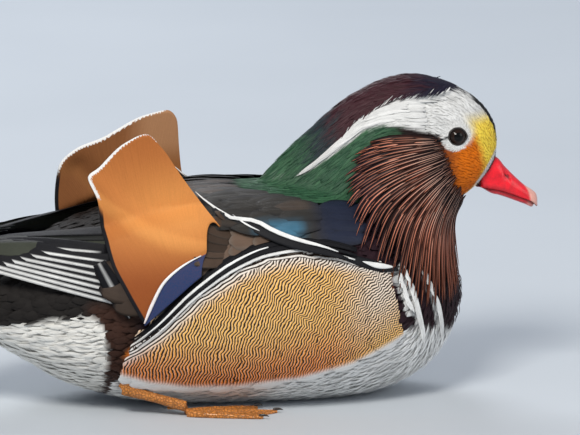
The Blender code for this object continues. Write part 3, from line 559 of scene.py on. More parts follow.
def marking(points, colours, ragged=1.0, seeds=None):
    """The plumage's colour at places in millimetres, alike for the skin and the coat."""
    points = np.asarray(points, float)
    seeds = points if seeds is None else seeds
    x, y, z = points.T
    jump = (hashed(seeds, 1.0) - 0.5) * 2 * ragged
    far = np.abs(y)
    white, black = np.array(colours.white), np.array(colours.black)
    # Painted shade: the white of the face band and of the rim by the bill, darkened by FACE_SHADE.
    shaded_white = white * FACE_SHADE
    body = mix(colours.breast, colours.back, smooth((40 - x) / 40) * smooth((z - 60) / 14))
    belly = height_of(BELLY_LINE, x)
    side_brown = smooth((-36 - x) / 8) * smooth((62 - z) / 8) * smooth((x + 66) / 8)
    body = mix(body, colours.rump, smooth((-34 - x) / 10))
    body = mix(body, colours.vent_brown, side_brown)
    under = smooth((belly + 2 + 2 * jump - z) / 3)
    body = mix(body, white, np.where(x > -50, under, 0))
    vent = smooth((height_of(VENT_LINE, x) + 1.5 * jump - z) / 2) * smooth((-52 - x + jump) / 3)
    body = mix(body, white * (0.96, 0.94, 0.9), vent)
    panel = smooth((z - height_of(FLANK_BOTTOM, x)) / 3) * smooth((height_of(FLANK_TOP, x) + 1 - z) / 3)
    body = mix(body, colours.orange, panel * smooth((87 - x) / 3) * smooth((x + 46) / 4) * (far > 24))
    for line in BREAST_BARS:
        near = line_distance(line, x + 0.35 * jump, z)
        bar = smooth((1.75 - near) / 0.7) * (far > 18)
        body = mix(body, white, bar * (0.8 + 0.2 * hashed(seeds, 5.0)))
    # Head
    top, low = height_of(BAND_TOP, x), height_of(BAND_BOTTOM, x)
    crown = mix(colours.crown, colours.maroon, smooth((116 - x + 5 * jump) / 22))
    crown = mix(crown, colours.slate, smooth((68 - x + 4 * jump) / 12))
    nape = mix(colours.green, colours.green_light, 0.7 * hashed(seeds, 3.0) ** 2)
    crown = mix(crown, nape, smooth((56 - x + 4 * jump) / 12))
    below = mix(nape, colours.ruff_dark, smooth((x - 88 + 3 * jump) / 10))
    behind = np.interp(z, np.array(HOOD)[:, 0], np.array(HOOD)[:, 2]) - x
    cheek = mix(colours.cheek, colours.cheek_brown, smooth((128 + jump - x) / 12))
    cheek = mix(cheek, colours.yellow, smooth((11 + 0.35 * (z - 112) + 0.5 * jump - behind) / 6))
    head = mix(below, cheek, smooth((x - 113 + jump) / 4))
    head = mix(head, colours.throat, smooth((99 + jump - z) / 4))
    gilt = 0.95 * smooth((18 + 0.5 * jump - behind) / 8) * smooth((140 - z) / 8)
    face_white = mix(np.zeros_like(points) + shaded_white, colours.yellow, gilt)
    blur = 1.6 + 7 * smooth((x - 126) / 6)
    head = mix(head, face_white, smooth((z - low + 0.5 * jump) / blur + 0.3 * smooth((x - 126) / 6)))
    head = mix(head, crown, smooth((z - top + 0.7 * jump) / 1.2))
    around_eye = np.hypot(x - EYE_MIDDLE[0] + 0.4, (z - EYE_MIDDLE[2]) * 1.08)
    head = mix(head, white * 0.9, smooth((8.2 - around_eye) / 1.2) * (x > 113))
    slit = line_distance(((118.6, 128.6), (113.4, 126.8)), x, z)
    head = mix(head, black, smooth((0.75 - slit) / 0.4) * (far > 10))
    to_bill = (points - BILL_FOOT) @ BILL_WAY
    edge = smooth((to_bill + 3.6) / 0.9) * smooth((121 - z) / 3) * smooth((z - 101) / 3)
    head = mix(head, shaded_white, edge)
    head = mix(head, black, smooth((to_bill + 1.3) / 0.4) * smooth((z - 96) / 2))
    wide = 6.6 - 3.6 * smooth((134 - z) / 14)
    stripe = smooth((wide - far) / 0.8) * smooth((x - 131) / 4) * smooth((z - 104) / 3)
    head = mix(head, black, stripe)
    on_head = smooth((z - 94 - jump) / 3) * smooth((x - 14) / 4)
    return mix(body, head, on_head)


# ---- Feathers ----

TIP_EASE = 0.7  # below 1, a feather leaves the skin steeply and flattens out


def outline(steps, root, tip, widest, sharp=1.0):
    """Half widths from root to tip as shares of the greatest."""
    s = np.linspace(0, 1, steps)
    rise = root + (1 - root) * np.sin(np.clip(s / widest, 0, 1) * np.pi / 2)
    fall = np.cos(np.clip((s - widest) / (1 - widest), 0, 1) * np.pi / 2) ** sharp
    return np.where(s < widest, rise, tip + (1 - tip) * fall)


def combed(roots, lengths, steps, low, high, drift=0.0, seed=0):
    """Lines that leave each root along the lie and stay over the skin, rising from low to high."""
    ground = the_ground()
    rng = np.random.default_rng(seed)
    veer = rng.normal(0, drift, len(roots))
    lines, ups = np.zeros((len(roots), steps, 3)), np.zeros((len(roots), steps, 3))
    now = np.array(roots, float)
    for k in range(steps):
        for i, point in enumerate(now):
            lines[i, k], ups[i, k] = ground.near(point)
        way = lie(lines[:, k])
        way -= ups[:, k] * np.sum(way * ups[:, k], axis=1, keepdims=True)
        way = unit(way)
        side_way = np.cross(ups[:, k], way)
        way = unit(way + side_way * veer[:, None])
        now = lines[:, k] + way * (lengths / (steps - 1))[:, None]
    u = np.linspace(0, 1, steps) ** TIP_EASE
    low, high = (np.broadcast_to(np.asarray(h, float), len(roots)) for h in (low, high))
    heights = low[:, None] + (high - low)[:, None] * u
    return lines + ups * heights[..., None], ups


def vanes(lines, ups, halves, shape, camber, columns=3):
    """Grids of places for feathers along lines, each as wide as an outline of the given shape."""
    along = unit(np.gradient(lines, axis=1))
    across = unit(np.cross(ups, along))
    up = np.cross(along, across)
    s = np.linspace(-1, 1, columns)
    half = np.asarray(halves, float)[:, None] * outline(lines.shape[1], *shape)
    reach = half[:, :, None] * s
    arch = camber * half[:, :, None] * (1 - s**2)
    return lines[:, :, None] + across[:, :, None] * reach[..., None] + up[:, :, None] * arch[..., None]


def tier(feathers, shape, camber, columns):
    """Grids for feathers that are each given as a line, the ways that it faces and a half width."""
    lines, ups, halves = zip(*feathers)
    return vanes(np.array(lines, float), np.array(ups, float), halves, shape, camber, columns)


def columns_of(rows):
    """Rows that start with a place: the places, then each other column by itself."""
    rows = np.array(rows, float)
    return rows[:, :3], *rows[:, 3:].T


def per_feather(values, grids, sheets=2):
    """A value for each feather, given to all the places of its sheets."""
    return np.tile(np.repeat(np.asarray(values, float), grids[0, :, :, 0].size), sheets)


def border(vane, edge, edge_width, tip, tip_width):
    """How far a place is into a feather's border, at its edges and its tip."""
    beside = smooth((np.abs(vane[:, 1] - 0.5) - edge) / edge_width)
    return np.clip(beside + smooth((vane[:, 0] - tip) / tip_width), 0, 1)


def sheet_faces(count, rows, columns, start=0, flip=False):
    i, j = np.meshgrid(np.arange(rows - 1), np.arange(columns - 1), indexing="ij")
    a = (i * columns + j).ravel()
    quad = np.stack([a, a + columns, a + columns + 1, a + 1], axis=1)
    if flip:
        quad = quad[:, ::-1]
    return (start + np.arange(count)[:, None, None] * rows * columns + quad[None]).reshape(-1, 4)


def rim_faces(count, rows, columns, lower):
    """Faces that close the edges between upper and lower sheets."""
    rim = list(range(columns))
    rim += [i * columns + columns - 1 for i in range(1, rows)]
    rim += [(rows - 1) * columns + j for j in range(columns - 2, -1, -1)]
    rim += [i * columns for i in range(rows - 2, 0, -1)]
    a = np.array(rim)
    b = np.roll(a, -1)
    quad = np.stack([a, b, b + lower, a + lower], axis=1)
    return (np.arange(count)[:, None, None] * rows * columns + quad[None]).reshape(-1, 4)


def feather_mesh(name, grids, thick=0.0, tip_thick=0.35):
    """One mesh from grids of feathers, each closed into a slab where there is a thickness."""
    count, rows, columns = grids.shape[:3]
    flat = grids.reshape(-1, 3)
    faces = sheet_faces(count, rows, columns)
    u, v = np.meshgrid(np.linspace(0, 1, rows), np.linspace(0, 1, columns), indexing="ij")
    vane = np.tile(np.stack([u, v], axis=-1).reshape(-1, 2), (count, 1))
    roots = np.repeat(grids[:, 0, columns // 2], rows * columns, axis=0)
    if thick:
        along = unit(np.gradient(grids, axis=1))
        across = unit(np.gradient(grids, axis=2))
        up = unit(np.cross(along, across))
        depth = thick * (1 - (1 - tip_thick) * np.linspace(0, 1, rows))[None, :, None, None]
        lower = (grids - up * depth).reshape(-1, 3)
        total = len(flat)
        faces = np.concatenate([
            faces,
            sheet_faces(count, rows, columns, total, flip=True),
            rim_faces(count, rows, columns, total),
        ])
        flat = np.concatenate([flat, lower])
        vane, roots = np.tile(vane, (2, 1)), np.tile(roots, (2, 1))
    mesh = bpy.data.meshes.new(name)
    mesh.vertices.add(len(flat))
    mesh.loops.add(len(faces) * 4)
    mesh.polygons.add(len(faces))
    mesh.loops.foreach_set("vertex_index", faces.astype(np.int32).ravel())
    mesh.polygons.foreach_set("loop_start", np.arange(0, len(faces) * 4, 4, dtype=np.int32))
    set_places(mesh, flat)
    mesh.update(calc_edges=True)
    corners = faces.ravel()
    put_uv(mesh, "OFBake", np.clip(ground_uv(roots) + (vane - 0.5) * PATCH, 0, 1)[corners])
    put_uv(mesh, "Vane", vane[corners])
    return mesh, flat, vane, roots


def finish(made, material, *replaced, slot):
    """Gives a piece its material and its body, and hides the solids that it stands for."""
    if material is not None:
        made.data.materials.clear()
        made.data.materials.append(material)
    shade_smooth(made.data)
    points = places(made.data)
    if points[:, 2].min() < 0:
        points[:, 2] = np.maximum(points[:, 2], 0.02)
        set_places(made.data, points)
    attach(made, BODY)
    if replaced:
        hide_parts(*replaced)
    return made


# ---- Node trees ----

class Graph:
    """Short calls that build a tree of nodes."""

    def __init__(self, tree):
        self.tree = tree

    def __call__(self, kind, inputs=None, **settings):
        node = self.tree.nodes.new(kind)
        for name, value in settings.items():
            setattr(node, name, value)
        for name, value in (inputs or {}).items():
            if isinstance(value, bpy.types.NodeSocket):
                self.tree.links.new(value, node.inputs[name])
            else:
                node.inputs[name].default_value = value
        return node

    def math(self, operation, *values):
        return self("ShaderNodeMath", dict(enumerate(values)), operation=operation).outputs[0]

    def times(self, first, second):
        return self.math("MULTIPLY", first, second)

    def plus(self, first, second):
        return self.math("ADD", first, second)

    def minus(self, first, second):
        return self.math("SUBTRACT", first, second)

    def scaled(self, value, factor, offset):
        return self.math("MULTIPLY_ADD", value, factor, offset)

    def sine(self, value):
        return self.math("SINE", value)

    def mixed(self, share, first, second):
        first, second = (
            value if isinstance(value, bpy.types.NodeSocket) else (*value, 1) for value in (first, second))
        inputs = {0: share, 6: first, 7: second}
        return self("ShaderNodeMix", inputs, data_type="RGBA").outputs[2]

    def ranged(self, value, *spans):
        """A value taken from low and high to 0 and 1, or to the two numbers that follow."""
        return self("ShaderNodeMapRange", dict(enumerate((value, *spans)))).outputs[0]

    def ramp(self, value, *stops):
        node = self("ShaderNodeValToRGB", {0: value})
        node.color_ramp.elements.remove(node.color_ramp.elements[1])
        for i, (at, colour) in enumerate(stops):
            stop = node.color_ramp.elements[0] if i == 0 else node.color_ramp.elements.new(at)
            stop.position, stop.color = at, (*colour[:3], 1)
        return node.outputs[0]

    def space(self):
        return self("ShaderNodeTexCoord").outputs["Object"]

    def vector(self, *values):
        return self("ShaderNodeCombineXYZ", dict(enumerate(values))).outputs[0]

    def noise(self, scale, detail=3.0, vector=None, roughness=0.5):
        inputs = {"Scale": scale, "Detail": detail, "Roughness": roughness, "Vector": vector or self.space()}
        return self("ShaderNodeTexNoise", inputs).outputs[0]

    def attribute(self, name, output):
        return self("ShaderNodeAttribute", attribute_name=name).outputs[output]

    def value(self, name):
        return self.attribute(name, "Fac")

    def colour(self, name):
        return self.attribute(name, "Color")

    def shaded(self, colour, value):
        return self("ShaderNodeHueSaturation", {"Color": colour, "Value": value}).outputs[0]


def new_material(name, roughness, **uniform):
    """A material whose values that are the same all over are set on the shader's own sockets."""
    material = bpy.data.materials.new(name)
    material.use_nodes = True
    g = Graph(material.node_tree)
    shader = material.node_tree.nodes["Principled BSDF"]
    shader.inputs["Roughness"].default_value = roughness
    for word, value in uniform.items():
        shader.inputs[word.replace("_", " ").title().replace("Ior", "IOR")].default_value = value
    return material, g, shader


def set_bump(g, shader, height, strength, distance=0.0004):
    bump = g("ShaderNodeBump", {"Height": height, "Strength": strength, "Distance": distance})
    g.tree.links.new(bump.outputs[0], shader.inputs["Normal"])


def set_colour(g, shader, colour):
    g.tree.links.new(colour, shader.inputs["Base Color"])


def vane_parts(g):
    """Along the feather, and how far to its side from 0 at the shaft to 1 at the edge."""
    split = g("ShaderNodeSeparateXYZ", {0: g("ShaderNodeUVMap", uv_map="Vane").outputs[0]})
    along, over = split.outputs[0], split.outputs[1]
    beside = g.times(g.math("ABSOLUTE", g.minus(over, 0.5)), 2.0)
    return along, over, beside


def barbs(g, along, beside, count, slant):
    """Fine ribs that leave the shaft aslant."""
    place = g.scaled(beside, -slant, along)
    wave = g.sine(g.times(place, count * 2 * math.pi))
    return g.scaled(wave, 0.5, 0.5)


def strands(g, along, over, fineness, length=2.5):
    """Hair-fine streaks that run along a lock."""
    spot = g.vector(g.times(along, length), g.times(over, fineness), g.times(g.value("tone"), 37.0))
    return g.noise(1.0, 3.0, spot, 0.6)


def feather_material(name, roughness=0.6, count=26, slant=0.25, depth=0.12, strand=0.0, fineness=9.0,
                     bump=0.35, edge=0.0, **uniform):
    """Plumage: the coat's marking with barbs or fine strands, and borders darkened by the share given as
    edge.
    """
    material, g, shader = new_material(name, roughness, **{"specular_ior_level": 0.12, **uniform})
    along, over, beside = vane_parts(g)
    ribs = barbs(g, along, beside, count, slant)
    hairs = strands(g, along, over, fineness)
    detail = g.plus(g.times(ribs, depth), g.times(hairs, strand))
    patchy = g.ranged(g.noise(140.0, 2.0), 0.3, 0.7, 0.9, 1.1)
    tone = g.scaled(g.value("tone"), 0.16, 0.92)
    value = g.times(g.times(patchy, tone), g.plus(detail, 1.0 - (depth + strand) * 0.5))
    base = g.shaded(g.colour("mark"), value)
    if edge:
        base = g.mixed(g.times(g.ranged(beside, 0.7, 1.0), edge), base, g.shaded(base, 0.35))
    set_colour(g, shader, base)
    set_bump(g, shader, g.plus(g.times(ribs, depth * 4), hairs), bump)
    return material


def feather_template(name, width, rise):
    """One small feather a metre long, to be laid at its own size. It curves down to its tip."""
    u = np.linspace(0, 1, 5)
    line = np.stack([u, 0 * u, rise * np.sin(u * np.pi * 0.72) + 0.02], axis=1) / MM
    grids = tier([(line, np.zeros_like(line) + (0, 0, 1.0), width / 2 / MM)], (0.4, 0.16, 0.55), 0.25, 3)
    mesh = feather_mesh(name, grids)[0]
    mesh.uv_layers.remove(mesh.uv_layers["OFBake"])
    return bpy.data.objects.new(name, mesh)


def coat_tree():
    """Small feathers set over a skin along its lie. The skin says where, how long and which way."""
    tree = bpy.data.node_groups.new("Coat on skin", "GeometryNodeTree")
    tree.interface.new_socket("Skin", in_out="INPUT", socket_type="NodeSocketGeometry")
    for name, kind in (
        ("Spacing", "Float"), ("Crowding", "Float"), ("Unevenness", "Float"), ("Seed", "Int"),
        ("Feather", "Object"), ("Finish", "Material"),
    ):
        tree.interface.new_socket(name, in_out="INPUT", socket_type="NodeSocket" + kind)
    tree.interface.new_socket("Coat", in_out="OUTPUT", socket_type="NodeSocketGeometry")
    g = Graph(tree)
    start, end = g("NodeGroupInput"), g("NodeGroupOutput")

    def named(name, kind):
        return g("GeometryNodeInputNamedAttribute", {"Name": name}, data_type=kind).outputs[0]

    dots = g("GeometryNodeDistributePointsOnFaces", {
        "Mesh": start.outputs["Skin"], "Distance Min": start.outputs["Spacing"],
        "Density Max": start.outputs["Crowding"], "Density Factor": named("share", "FLOAT"),
        "Seed": start.outputs["Seed"]}, distribute_method="POISSON")
    stood = g("FunctionNodeAlignRotationToVector", {"Vector": dots.outputs["Normal"]}, axis="Z")
    laid = g("FunctionNodeAlignRotationToVector", {
        "Rotation": stood.outputs[0], "Vector": named("lie", "FLOAT_VECTOR")}, axis="X", pivot_axis="Z")
    least, most = (
        g("ShaderNodeVectorMath", {0: way, "Scale": start.outputs["Unevenness"]}, operation="SCALE")
        for way in ((-0.5, -1.0, -1.6), (0.5, 1.0, 1.6)))
    veer = g("FunctionNodeRandomValue", {
        "Min": least.outputs[0], "Max": most.outputs[0], "Seed": start.outputs["Seed"]},
        data_type="FLOAT_VECTOR")
    twist = g("FunctionNodeEulerToRotation", {0: veer.outputs[0]})
    turned = g("FunctionNodeRotateRotation", {
        "Rotation": laid.outputs[0], "Rotate By": twist.outputs[0]}, rotation_space="LOCAL")
    sizes = g("FunctionNodeRandomValue", {2: 0.82, 3: 1.18, "Seed": start.outputs["Seed"]}, data_type="FLOAT")
    size = g.times(named("size", "FLOAT"), sizes.outputs[1])
    rooted = g("GeometryNodeStoreNamedAttribute", {
        "Geometry": dots.outputs["Points"], "Name": "root",
        "Value": g("GeometryNodeInputPosition").outputs[0]}, data_type="FLOAT_VECTOR", domain="POINT")
    feather = g("GeometryNodeObjectInfo", {"Object": start.outputs["Feather"]})
    set_out = g("GeometryNodeInstanceOnPoints", {
        "Points": rooted.outputs[0], "Instance": feather.outputs["Geometry"],
        "Rotation": turned.outputs[0], "Scale": size})
    real = g("GeometryNodeRealizeInstances", {0: set_out.outputs[0]})
    dressed = g("GeometryNodeSetMaterial", {
        "Geometry": real.outputs[0], "Material": start.outputs["Finish"]})
    tree.links.new(dressed.outputs[0], end.inputs[0])
    return tree


def grown(name, host_mesh, tree, **inputs):
    """A plain mesh object made by a tree of geometry nodes from a host mesh."""
    made = add_object(name, host_mesh)
    modifier = made.modifiers.new("grown", "NODES")
    modifier.node_group = tree
    for item in tree.interface.items_tree:
        word = item.name.lower()
        if item.in_out == "INPUT" and word in inputs:
            modifier[item.identifier] = inputs[word]
    return evaluated(made)


def grow_coat(name, skin, share, size, colours, material, spacing, width, rise, uneven):
    """Feathers over the skin where share is above 0, painted with the coat's markings."""
    put_attribute(skin, "share", share)
    put_attribute(skin, "size", size)
    template = feather_template(name + "_feather", width, rise)
    made = grown(
        name, skin.copy(), once("coat_tree", coat_tree), spacing=spacing, crowding=0.9 / spacing**2,
        seed=11, unevenness=uneven, feather=template, finish=material)
    bpy.data.objects.remove(template)
    mesh = made.data
    root = read_field(mesh.attributes["root"].data, "vector", 3).astype(float) / MM
    painted = places(mesh) * 0.7 + root * 0.3
    put_attribute(mesh, "mark", marking(painted, colours, 1.0, root), "FLOAT_COLOR")
    put_attribute(mesh, "tone", hashed(root, 7.0))
    vane = read_field(mesh.uv_layers["Vane"].data, "uv", 2)
    put_uv(mesh, "OFBake", np.clip(ground_uv(root)[corners_of(mesh)] + (vane - 0.5) * PATCH, 0, 1))
    for extra in ("share", "size", "lie"):
        if extra in mesh.attributes:
            mesh.attributes.remove(mesh.attributes[extra])
    return made


def dress(name, grids, material, node, slot, paint, thick=0.0):
    """A finished piece of feathers. Paint gives a colour for each place, spot on the vane and root."""
    mesh, points, vane, roots = feather_mesh(name, grids, thick)
    put_attribute(mesh, "mark", paint(points, vane, roots), "FLOAT_COLOR")
    put_attribute(mesh, "tone", hashed(roots, 7.0))
    return finish(add_object(name, mesh), material, node, slot=slot)


# ---- Skin and short coat ----

SKIN_DEPTH = 1.1


def make_skin(colours):
    """One skin under the whole coat, with the coat's own markings. Feathers stand on its smooth normals."""
    the_ground()
    mesh = STORE["flesh"].copy()
    mesh.name = "skin"
    shade_smooth(mesh)
    normals = np.array([v.normal for v in mesh.vertices])
    points = places(mesh) - normals * SKIN_DEPTH
    points[:, 2] = np.maximum(points[:, 2], 0.3)
    set_places(mesh, points)
    put_attribute(mesh, "mark", marking(points, colours, 0.3), "FLOAT_COLOR")
    put_attribute(mesh, "lie", lie(points), "FLOAT_VECTOR")
    totals = read_field(mesh.polygons, "loop_total", kind=np.int32)
    centres = np.repeat(read_field(mesh.polygons, "center", 3) / MM, totals, axis=0)
    put_uv(mesh, "OFBake", ground_uv(points[corners_of(mesh)], centres))
    STORE["skin"] = mesh
    material, g, shader = new_material("down_over_skin", 0.85, sheen_weight=0.1, specular_ior_level=0.1)
    fluff = g.noise(900.0, 4.0)
    set_colour(g, shader, g.shaded(g.colour("mark"), g.ranged(fluff, 0.3, 0.7, 0.7, 1.05)))
    set_bump(g, shader, fluff, 0.6, 0.0006)
    finish(add_object("skin", mesh.copy()), material, "torso", "neck", "head", slot="breast_feather")


def coat_shares(points):
    """Where face tufts, body feathers and white down grow, and how long they are, in metres."""
    x, y, z = points.T
    far = np.abs(y)
    bill = (points - BILL_FOOT) @ BILL_WAY
    eye = np.hypot(x - EYE_MIDDLE[0], 1.08 * (z - EYE_MIDDLE[2])) + 20 * (far < 8)
    head = smooth((z - 95) / 3) * smooth((x - 98) / 8)
    face = head * (bill < 0.4) * (eye > 5.2)
    face_size = 2.9 - 1.3 * smooth((9.5 - eye) / 4) - 1.2 * smooth((bill + 4) / 4)
    face_size += 1.8 * smooth((112 - x) / 14)
    hidden = (x > -26) & (x < 52) & (far > 24) & (z > 34) & (z < 84)
    under_crest = (z > 104) & (x > 40)
    body = (1 - head) * (~hidden) * (~under_crest) * (z > 0.6)
    body_size = 7.2 - 2.4 * smooth((x - 92) / 20) + 2.8 * smooth((-30 - x) / 50)
    belly = smooth((height_of(BELLY_LINE, x) + 5 - z) / 3) * (x > -52)
    vent = smooth((height_of(VENT_LINE, x) + 2 - z) / 2) * smooth((-50 - x) / 3)
    white = np.maximum(belly, vent)
    down_size = 6.0 + 5.0 * smooth((-50 - x) / 30)
    return (
        (face, face_size * MM), (body * (1 - white), body_size * MM),
        (body * (white > 0.05), down_size * MM))


def make_short_coat(colours, sizes):
    """Tufts on the face, feathers on breast, back and rump, and white down below."""
    skin = STORE["skin"]
    face, body, down = coat_shares(places(skin))
    fine = feather_material(
        "face_plumage", 0.75, count=5, depth=0.03, strand=0.08, fineness=5.0, bump=0.1, sheen_weight=0.05)
    soft = feather_material(
        "body_plumage", 0.6, count=16, depth=0.12, strand=0.22, bump=0.35)
    silky = feather_material(
        "down_plumage", 0.7, count=4, depth=0.03, strand=0.12, fineness=5.0, bump=0.2, sheen_weight=0.15)
    for name, (share, size), material, spacing, width, rise, uneven, node, slot in (
        ("face_tufts", face, fine, sizes.face_spacing, 0.32, 0.10, 0.06, "head", "face_feather"),
        ("body_feathers", body, soft, sizes.body_spacing, 0.46, 0.13, 0.10, "torso", "breast_feather"),
        ("white_down", down, silky, sizes.body_spacing * 0.62, 0.2, 0.12, 0.12, "torso", "breast_feather"),
    ):
        made = grow_coat(name, skin, share, size, colours, material, spacing, width, rise, uneven)
        finish(made, None, node, slot=slot)
    make_breast_bars(colours, silky)


def make_breast_bars(colours, material):
    """White lances laid over one another along the bars on the sides of the breast."""
    rng = np.random.default_rng(13)
    lances = []
    for side in SIDES.values():
        for line in BREAST_BARS:
            for start in np.linspace(0, 0.76, 30):
                path = read_line(line, np.linspace(start, start + 0.24, 8)) + (rng.uniform(-0.9, 0.9), 0)
                height = 1.3 + rng.uniform(0, 0.3) + np.linspace(0, 0.6, 8)
                lances.append((*laid(path, height, side), rng.uniform(0.55, 0.8)))

    def paint(points, vane, roots):
        return np.zeros_like(points) + np.array(colours.white) * 0.95
    grids = tier(lances, (0.4, 0.06, 0.5, 0.8), 0.3, 3)
    dress("breast_bars", grids, material, "torso", "breast_feather", paint)


# ---- Crest and ruff ----

def scattered(count, seed, keep):
    """Places spread evenly over the ground, where keep says so."""
    rng = np.random.default_rng(seed)
    points = np.array([tuple(p) for p in the_ground().points])
    corners = points[np.array(the_ground().faces)]
    corners = corners[keep(corners.mean(axis=1))]
    middle = corners.mean(axis=1)
    area = np.linalg.norm(np.cross(corners[:, 1] - corners[:, 0], corners[:, 2] - corners[:, 0]), axis=1)
    steps = (np.arange(count) + rng.random(count) * 0.6) / count * area.sum()
    order = np.argsort(middle @ np.array((1.0, 0.37, 0.61)) // 2.5 * 1000 + middle[:, 1])
    chosen = order[np.minimum(np.searchsorted(np.cumsum(area[order]), steps), len(order) - 1)]
    a, b = rng.random(count), rng.random(count)
    outside = a + b > 1
    a, b = np.where(outside, 1 - a, a)[:, None], np.where(outside, 1 - b, b)[:, None]
    tri = corners[chosen]
    return tri[:, 0] * (1 - a - b) + tri[:, 1] * a + tri[:, 2] * b, rng


def in_crest(points):
    """The crown, the nape and the sides of the head behind the face and above the ruff."""
    x, _, z = points.T
    behind_ruff = (z > height_of(NAPE_FRONT, x) - 2) | (x < 66)
    forehead = (x > 108) & (z < 146)
    return (x < 127) & (x > 24) & (z > height_of(NAPE_EDGE, x) + 4) & behind_ruff & ~forehead


def make_crest(colours, sizes):
    """Long narrow feathers from the crown over the nape, the white ones among them."""
    count = sizes.crest_feathers
    roots, rng = scattered(count, 21, in_crest)
    x = roots[:, 0]
    length = (11 + 17 * smooth((118 - x) / 50)) * rng.uniform(0.75, 1.15, count)
    for _ in range(3):
        tips = combed(roots, length, 5, 0, 0)[0][:, -1]
        over = height_of(NAPE_EDGE, tips[:, 0]) - rng.uniform(0, 2.5, count) - tips[:, 2]
        length = np.maximum(length - 1.3 * np.maximum(over, 0), 3.0)
    layer = rng.random(count)
    high = -0.2 + (0.4 + 2.0 * smooth((128 - x) / 22)) * (0.72 + 0.28 * layer)
    lines, ups = combed(roots, length, 8, -0.5 + 0.3 * layer, high, 0.04, 22)
    halves = (0.95 - 0.35 * smooth((x - 100) / 20)) * rng.uniform(0.7, 1.3, count)
    sheen = feather_material(
        "crest_plumage", 0.42, count=10, slant=0.1, depth=0.03, strand=0.45, fineness=6.0, bump=0.35,
        specular_ior_level=0.14)

    def paint(points, vane, roots):
        return marking(points, colours, 1.2, roots)
    grids = vanes(lines, ups, halves, (0.6, 0.1, 0.4, 0.8), 0.3, 3)
    dress("crest_locks", grids, sheen, "crest", "crest_feather", paint)
    make_band_hairs(colours, sheen)


def make_band_hairs(colours, material):
    """White feathers that draw the band out to a point, and crown hairs that cross its upper edge."""
    rng = np.random.default_rng(24)
    hairs, dark = [], []
    along = np.linspace(0, 1, 10)
    for side in SIDES.values():
        for k in range(54):
            start = 100 - 42 * (k / 53) + rng.uniform(-1, 1)
            end = max(start - rng.uniform(18, 26), 45.5)
            aside = rng.uniform(-0.8, 0.8)
            x = np.linspace(start, end, 10)
            top, low = height_of(BAND_TOP, x), height_of(BAND_BOTTOM, x)
            level = (top + low) / 2 + aside * np.maximum((top - low) / 2 - 0.6, 0)
            hairs.append((*laid(np.stack([x, level], axis=1), 2.0 + along, side), rng.uniform(0.7, 1.1)))
            dark.append(False)
        for k in range(130):
            black = k % 5 < 3
            x = 70 + 50 * (k + rng.random()) / 130
            z = float(height_of(BAND_TOP, x)) + (rng.uniform(0.6, 1.8) if black else rng.uniform(0.2, 1.1))
            reach = rng.uniform(3.5, 6.0) if black else rng.uniform(2.5, 4.0)
            drop = 0.62 + 0.2 * smooth((92 - x) / 14) + rng.uniform(-0.08, 0.08)
            path = (x, z) + along[:, None] * reach * unit((-math.sqrt(1 - drop * drop), -drop))
            hairs.append((*laid(path, 2.3 + 0.5 * along + 0.3 * black, side), rng.uniform(0.25, 0.42)))
            dark.append(black)
    grids = tier(hairs, (0.5, 0.06, 0.4, 0.8), 0.3, 3)

    def paint(points, vane, roots):
        crown = mix(colours.crown, colours.maroon, smooth((112 - roots[:, 0]) / 22))
        return mix(np.array(colours.white) * FACE_SHADE, crown, per_feather(dark, grids, sheets=1))
    dress("band_hairs", grids, material, "crest", "crest_feather", paint)


def settled(lines, rounds):
    """Lines with their kinks eased and both ends kept."""
    for _ in range(rounds):
        lines[:, 1:-1] = (lines[:, :-2] + 2 * lines[:, 1:-1] + lines[:, 2:]) / 4
    return lines


def ruff_path(share, along):
    """Places on one hackle's line from the cheek to its tip, seen from the side."""
    root, tip = read_line(RUFF_ROOTS, share), read_line(RUFF_TIPS, share)
    span = np.linalg.norm(tip - root)
    leaving = np.array([-1.0, 0.12 - 1.1 * share])
    arriving = np.array([-0.75 + 0.95 * share, -0.25 - 0.75 * min(1, share * 2)])
    return bezier(root, root + unit(leaving) * span * 0.33, tip - unit(arriving) * span * 0.33, tip, along)


def make_ruff(word, side, colours, sizes):
    """Layers of long pointed hackles from the cheek over the neck and the breast."""
    rng = np.random.default_rng(31 + side)
    hackles = []
    for number, (far, low, high) in enumerate(RUFF_LAYERS):
        for k in range(sizes.ruff_hackles):
            share = (k + 0.5 + 0.45 * (number % 2) + rng.uniform(-0.25, 0.25)) / (sizes.ruff_hackles + 0.5)
            start = rng.uniform(-0.03, 0.06)
            reach = far * rng.uniform(0.93, 1.04)
            along = start + (reach - start) * np.linspace(0, 1, 15)
            height = low + (high - low) * smooth(np.linspace(0, 1.5, 15)) + rng.uniform(-0.25, 0.25)
            height[0] = 0.3
            half = (0.75 + 0.75 * reach) * rng.uniform(0.85, 1.1) * (1 - 0.25 * share)
            hackles.append((*laid(ruff_path(min(share, 1.0), along), height, side), half))
    lines, ups, halves = zip(*hackles)
    lines, ups = (settled(np.array(rows), 6) for rows in (lines, ups))

    def paint(points, vane, roots):
        copper = 0.4 * smooth((points[:, 0] - 84) / 26) * smooth((vane[:, 0] - 0.3) / 0.4)
        dark = mix(colours.ruff_dark, colours.ruff_brown, copper)
        return mix(dark, colours.ruff_violet, smooth((86 - points[:, 0]) / 14) * 0.7)
    material = once("ruff_material", ruff_material, colours)
    grids = vanes(lines, unit(ups), halves, (0.35, 0.06, 0.62, 0.8), 0.3, 5)
    dress("ruff_hackles_" + word, grids, material, "ruff_" + word, "ruff_feather", paint, 0.35)


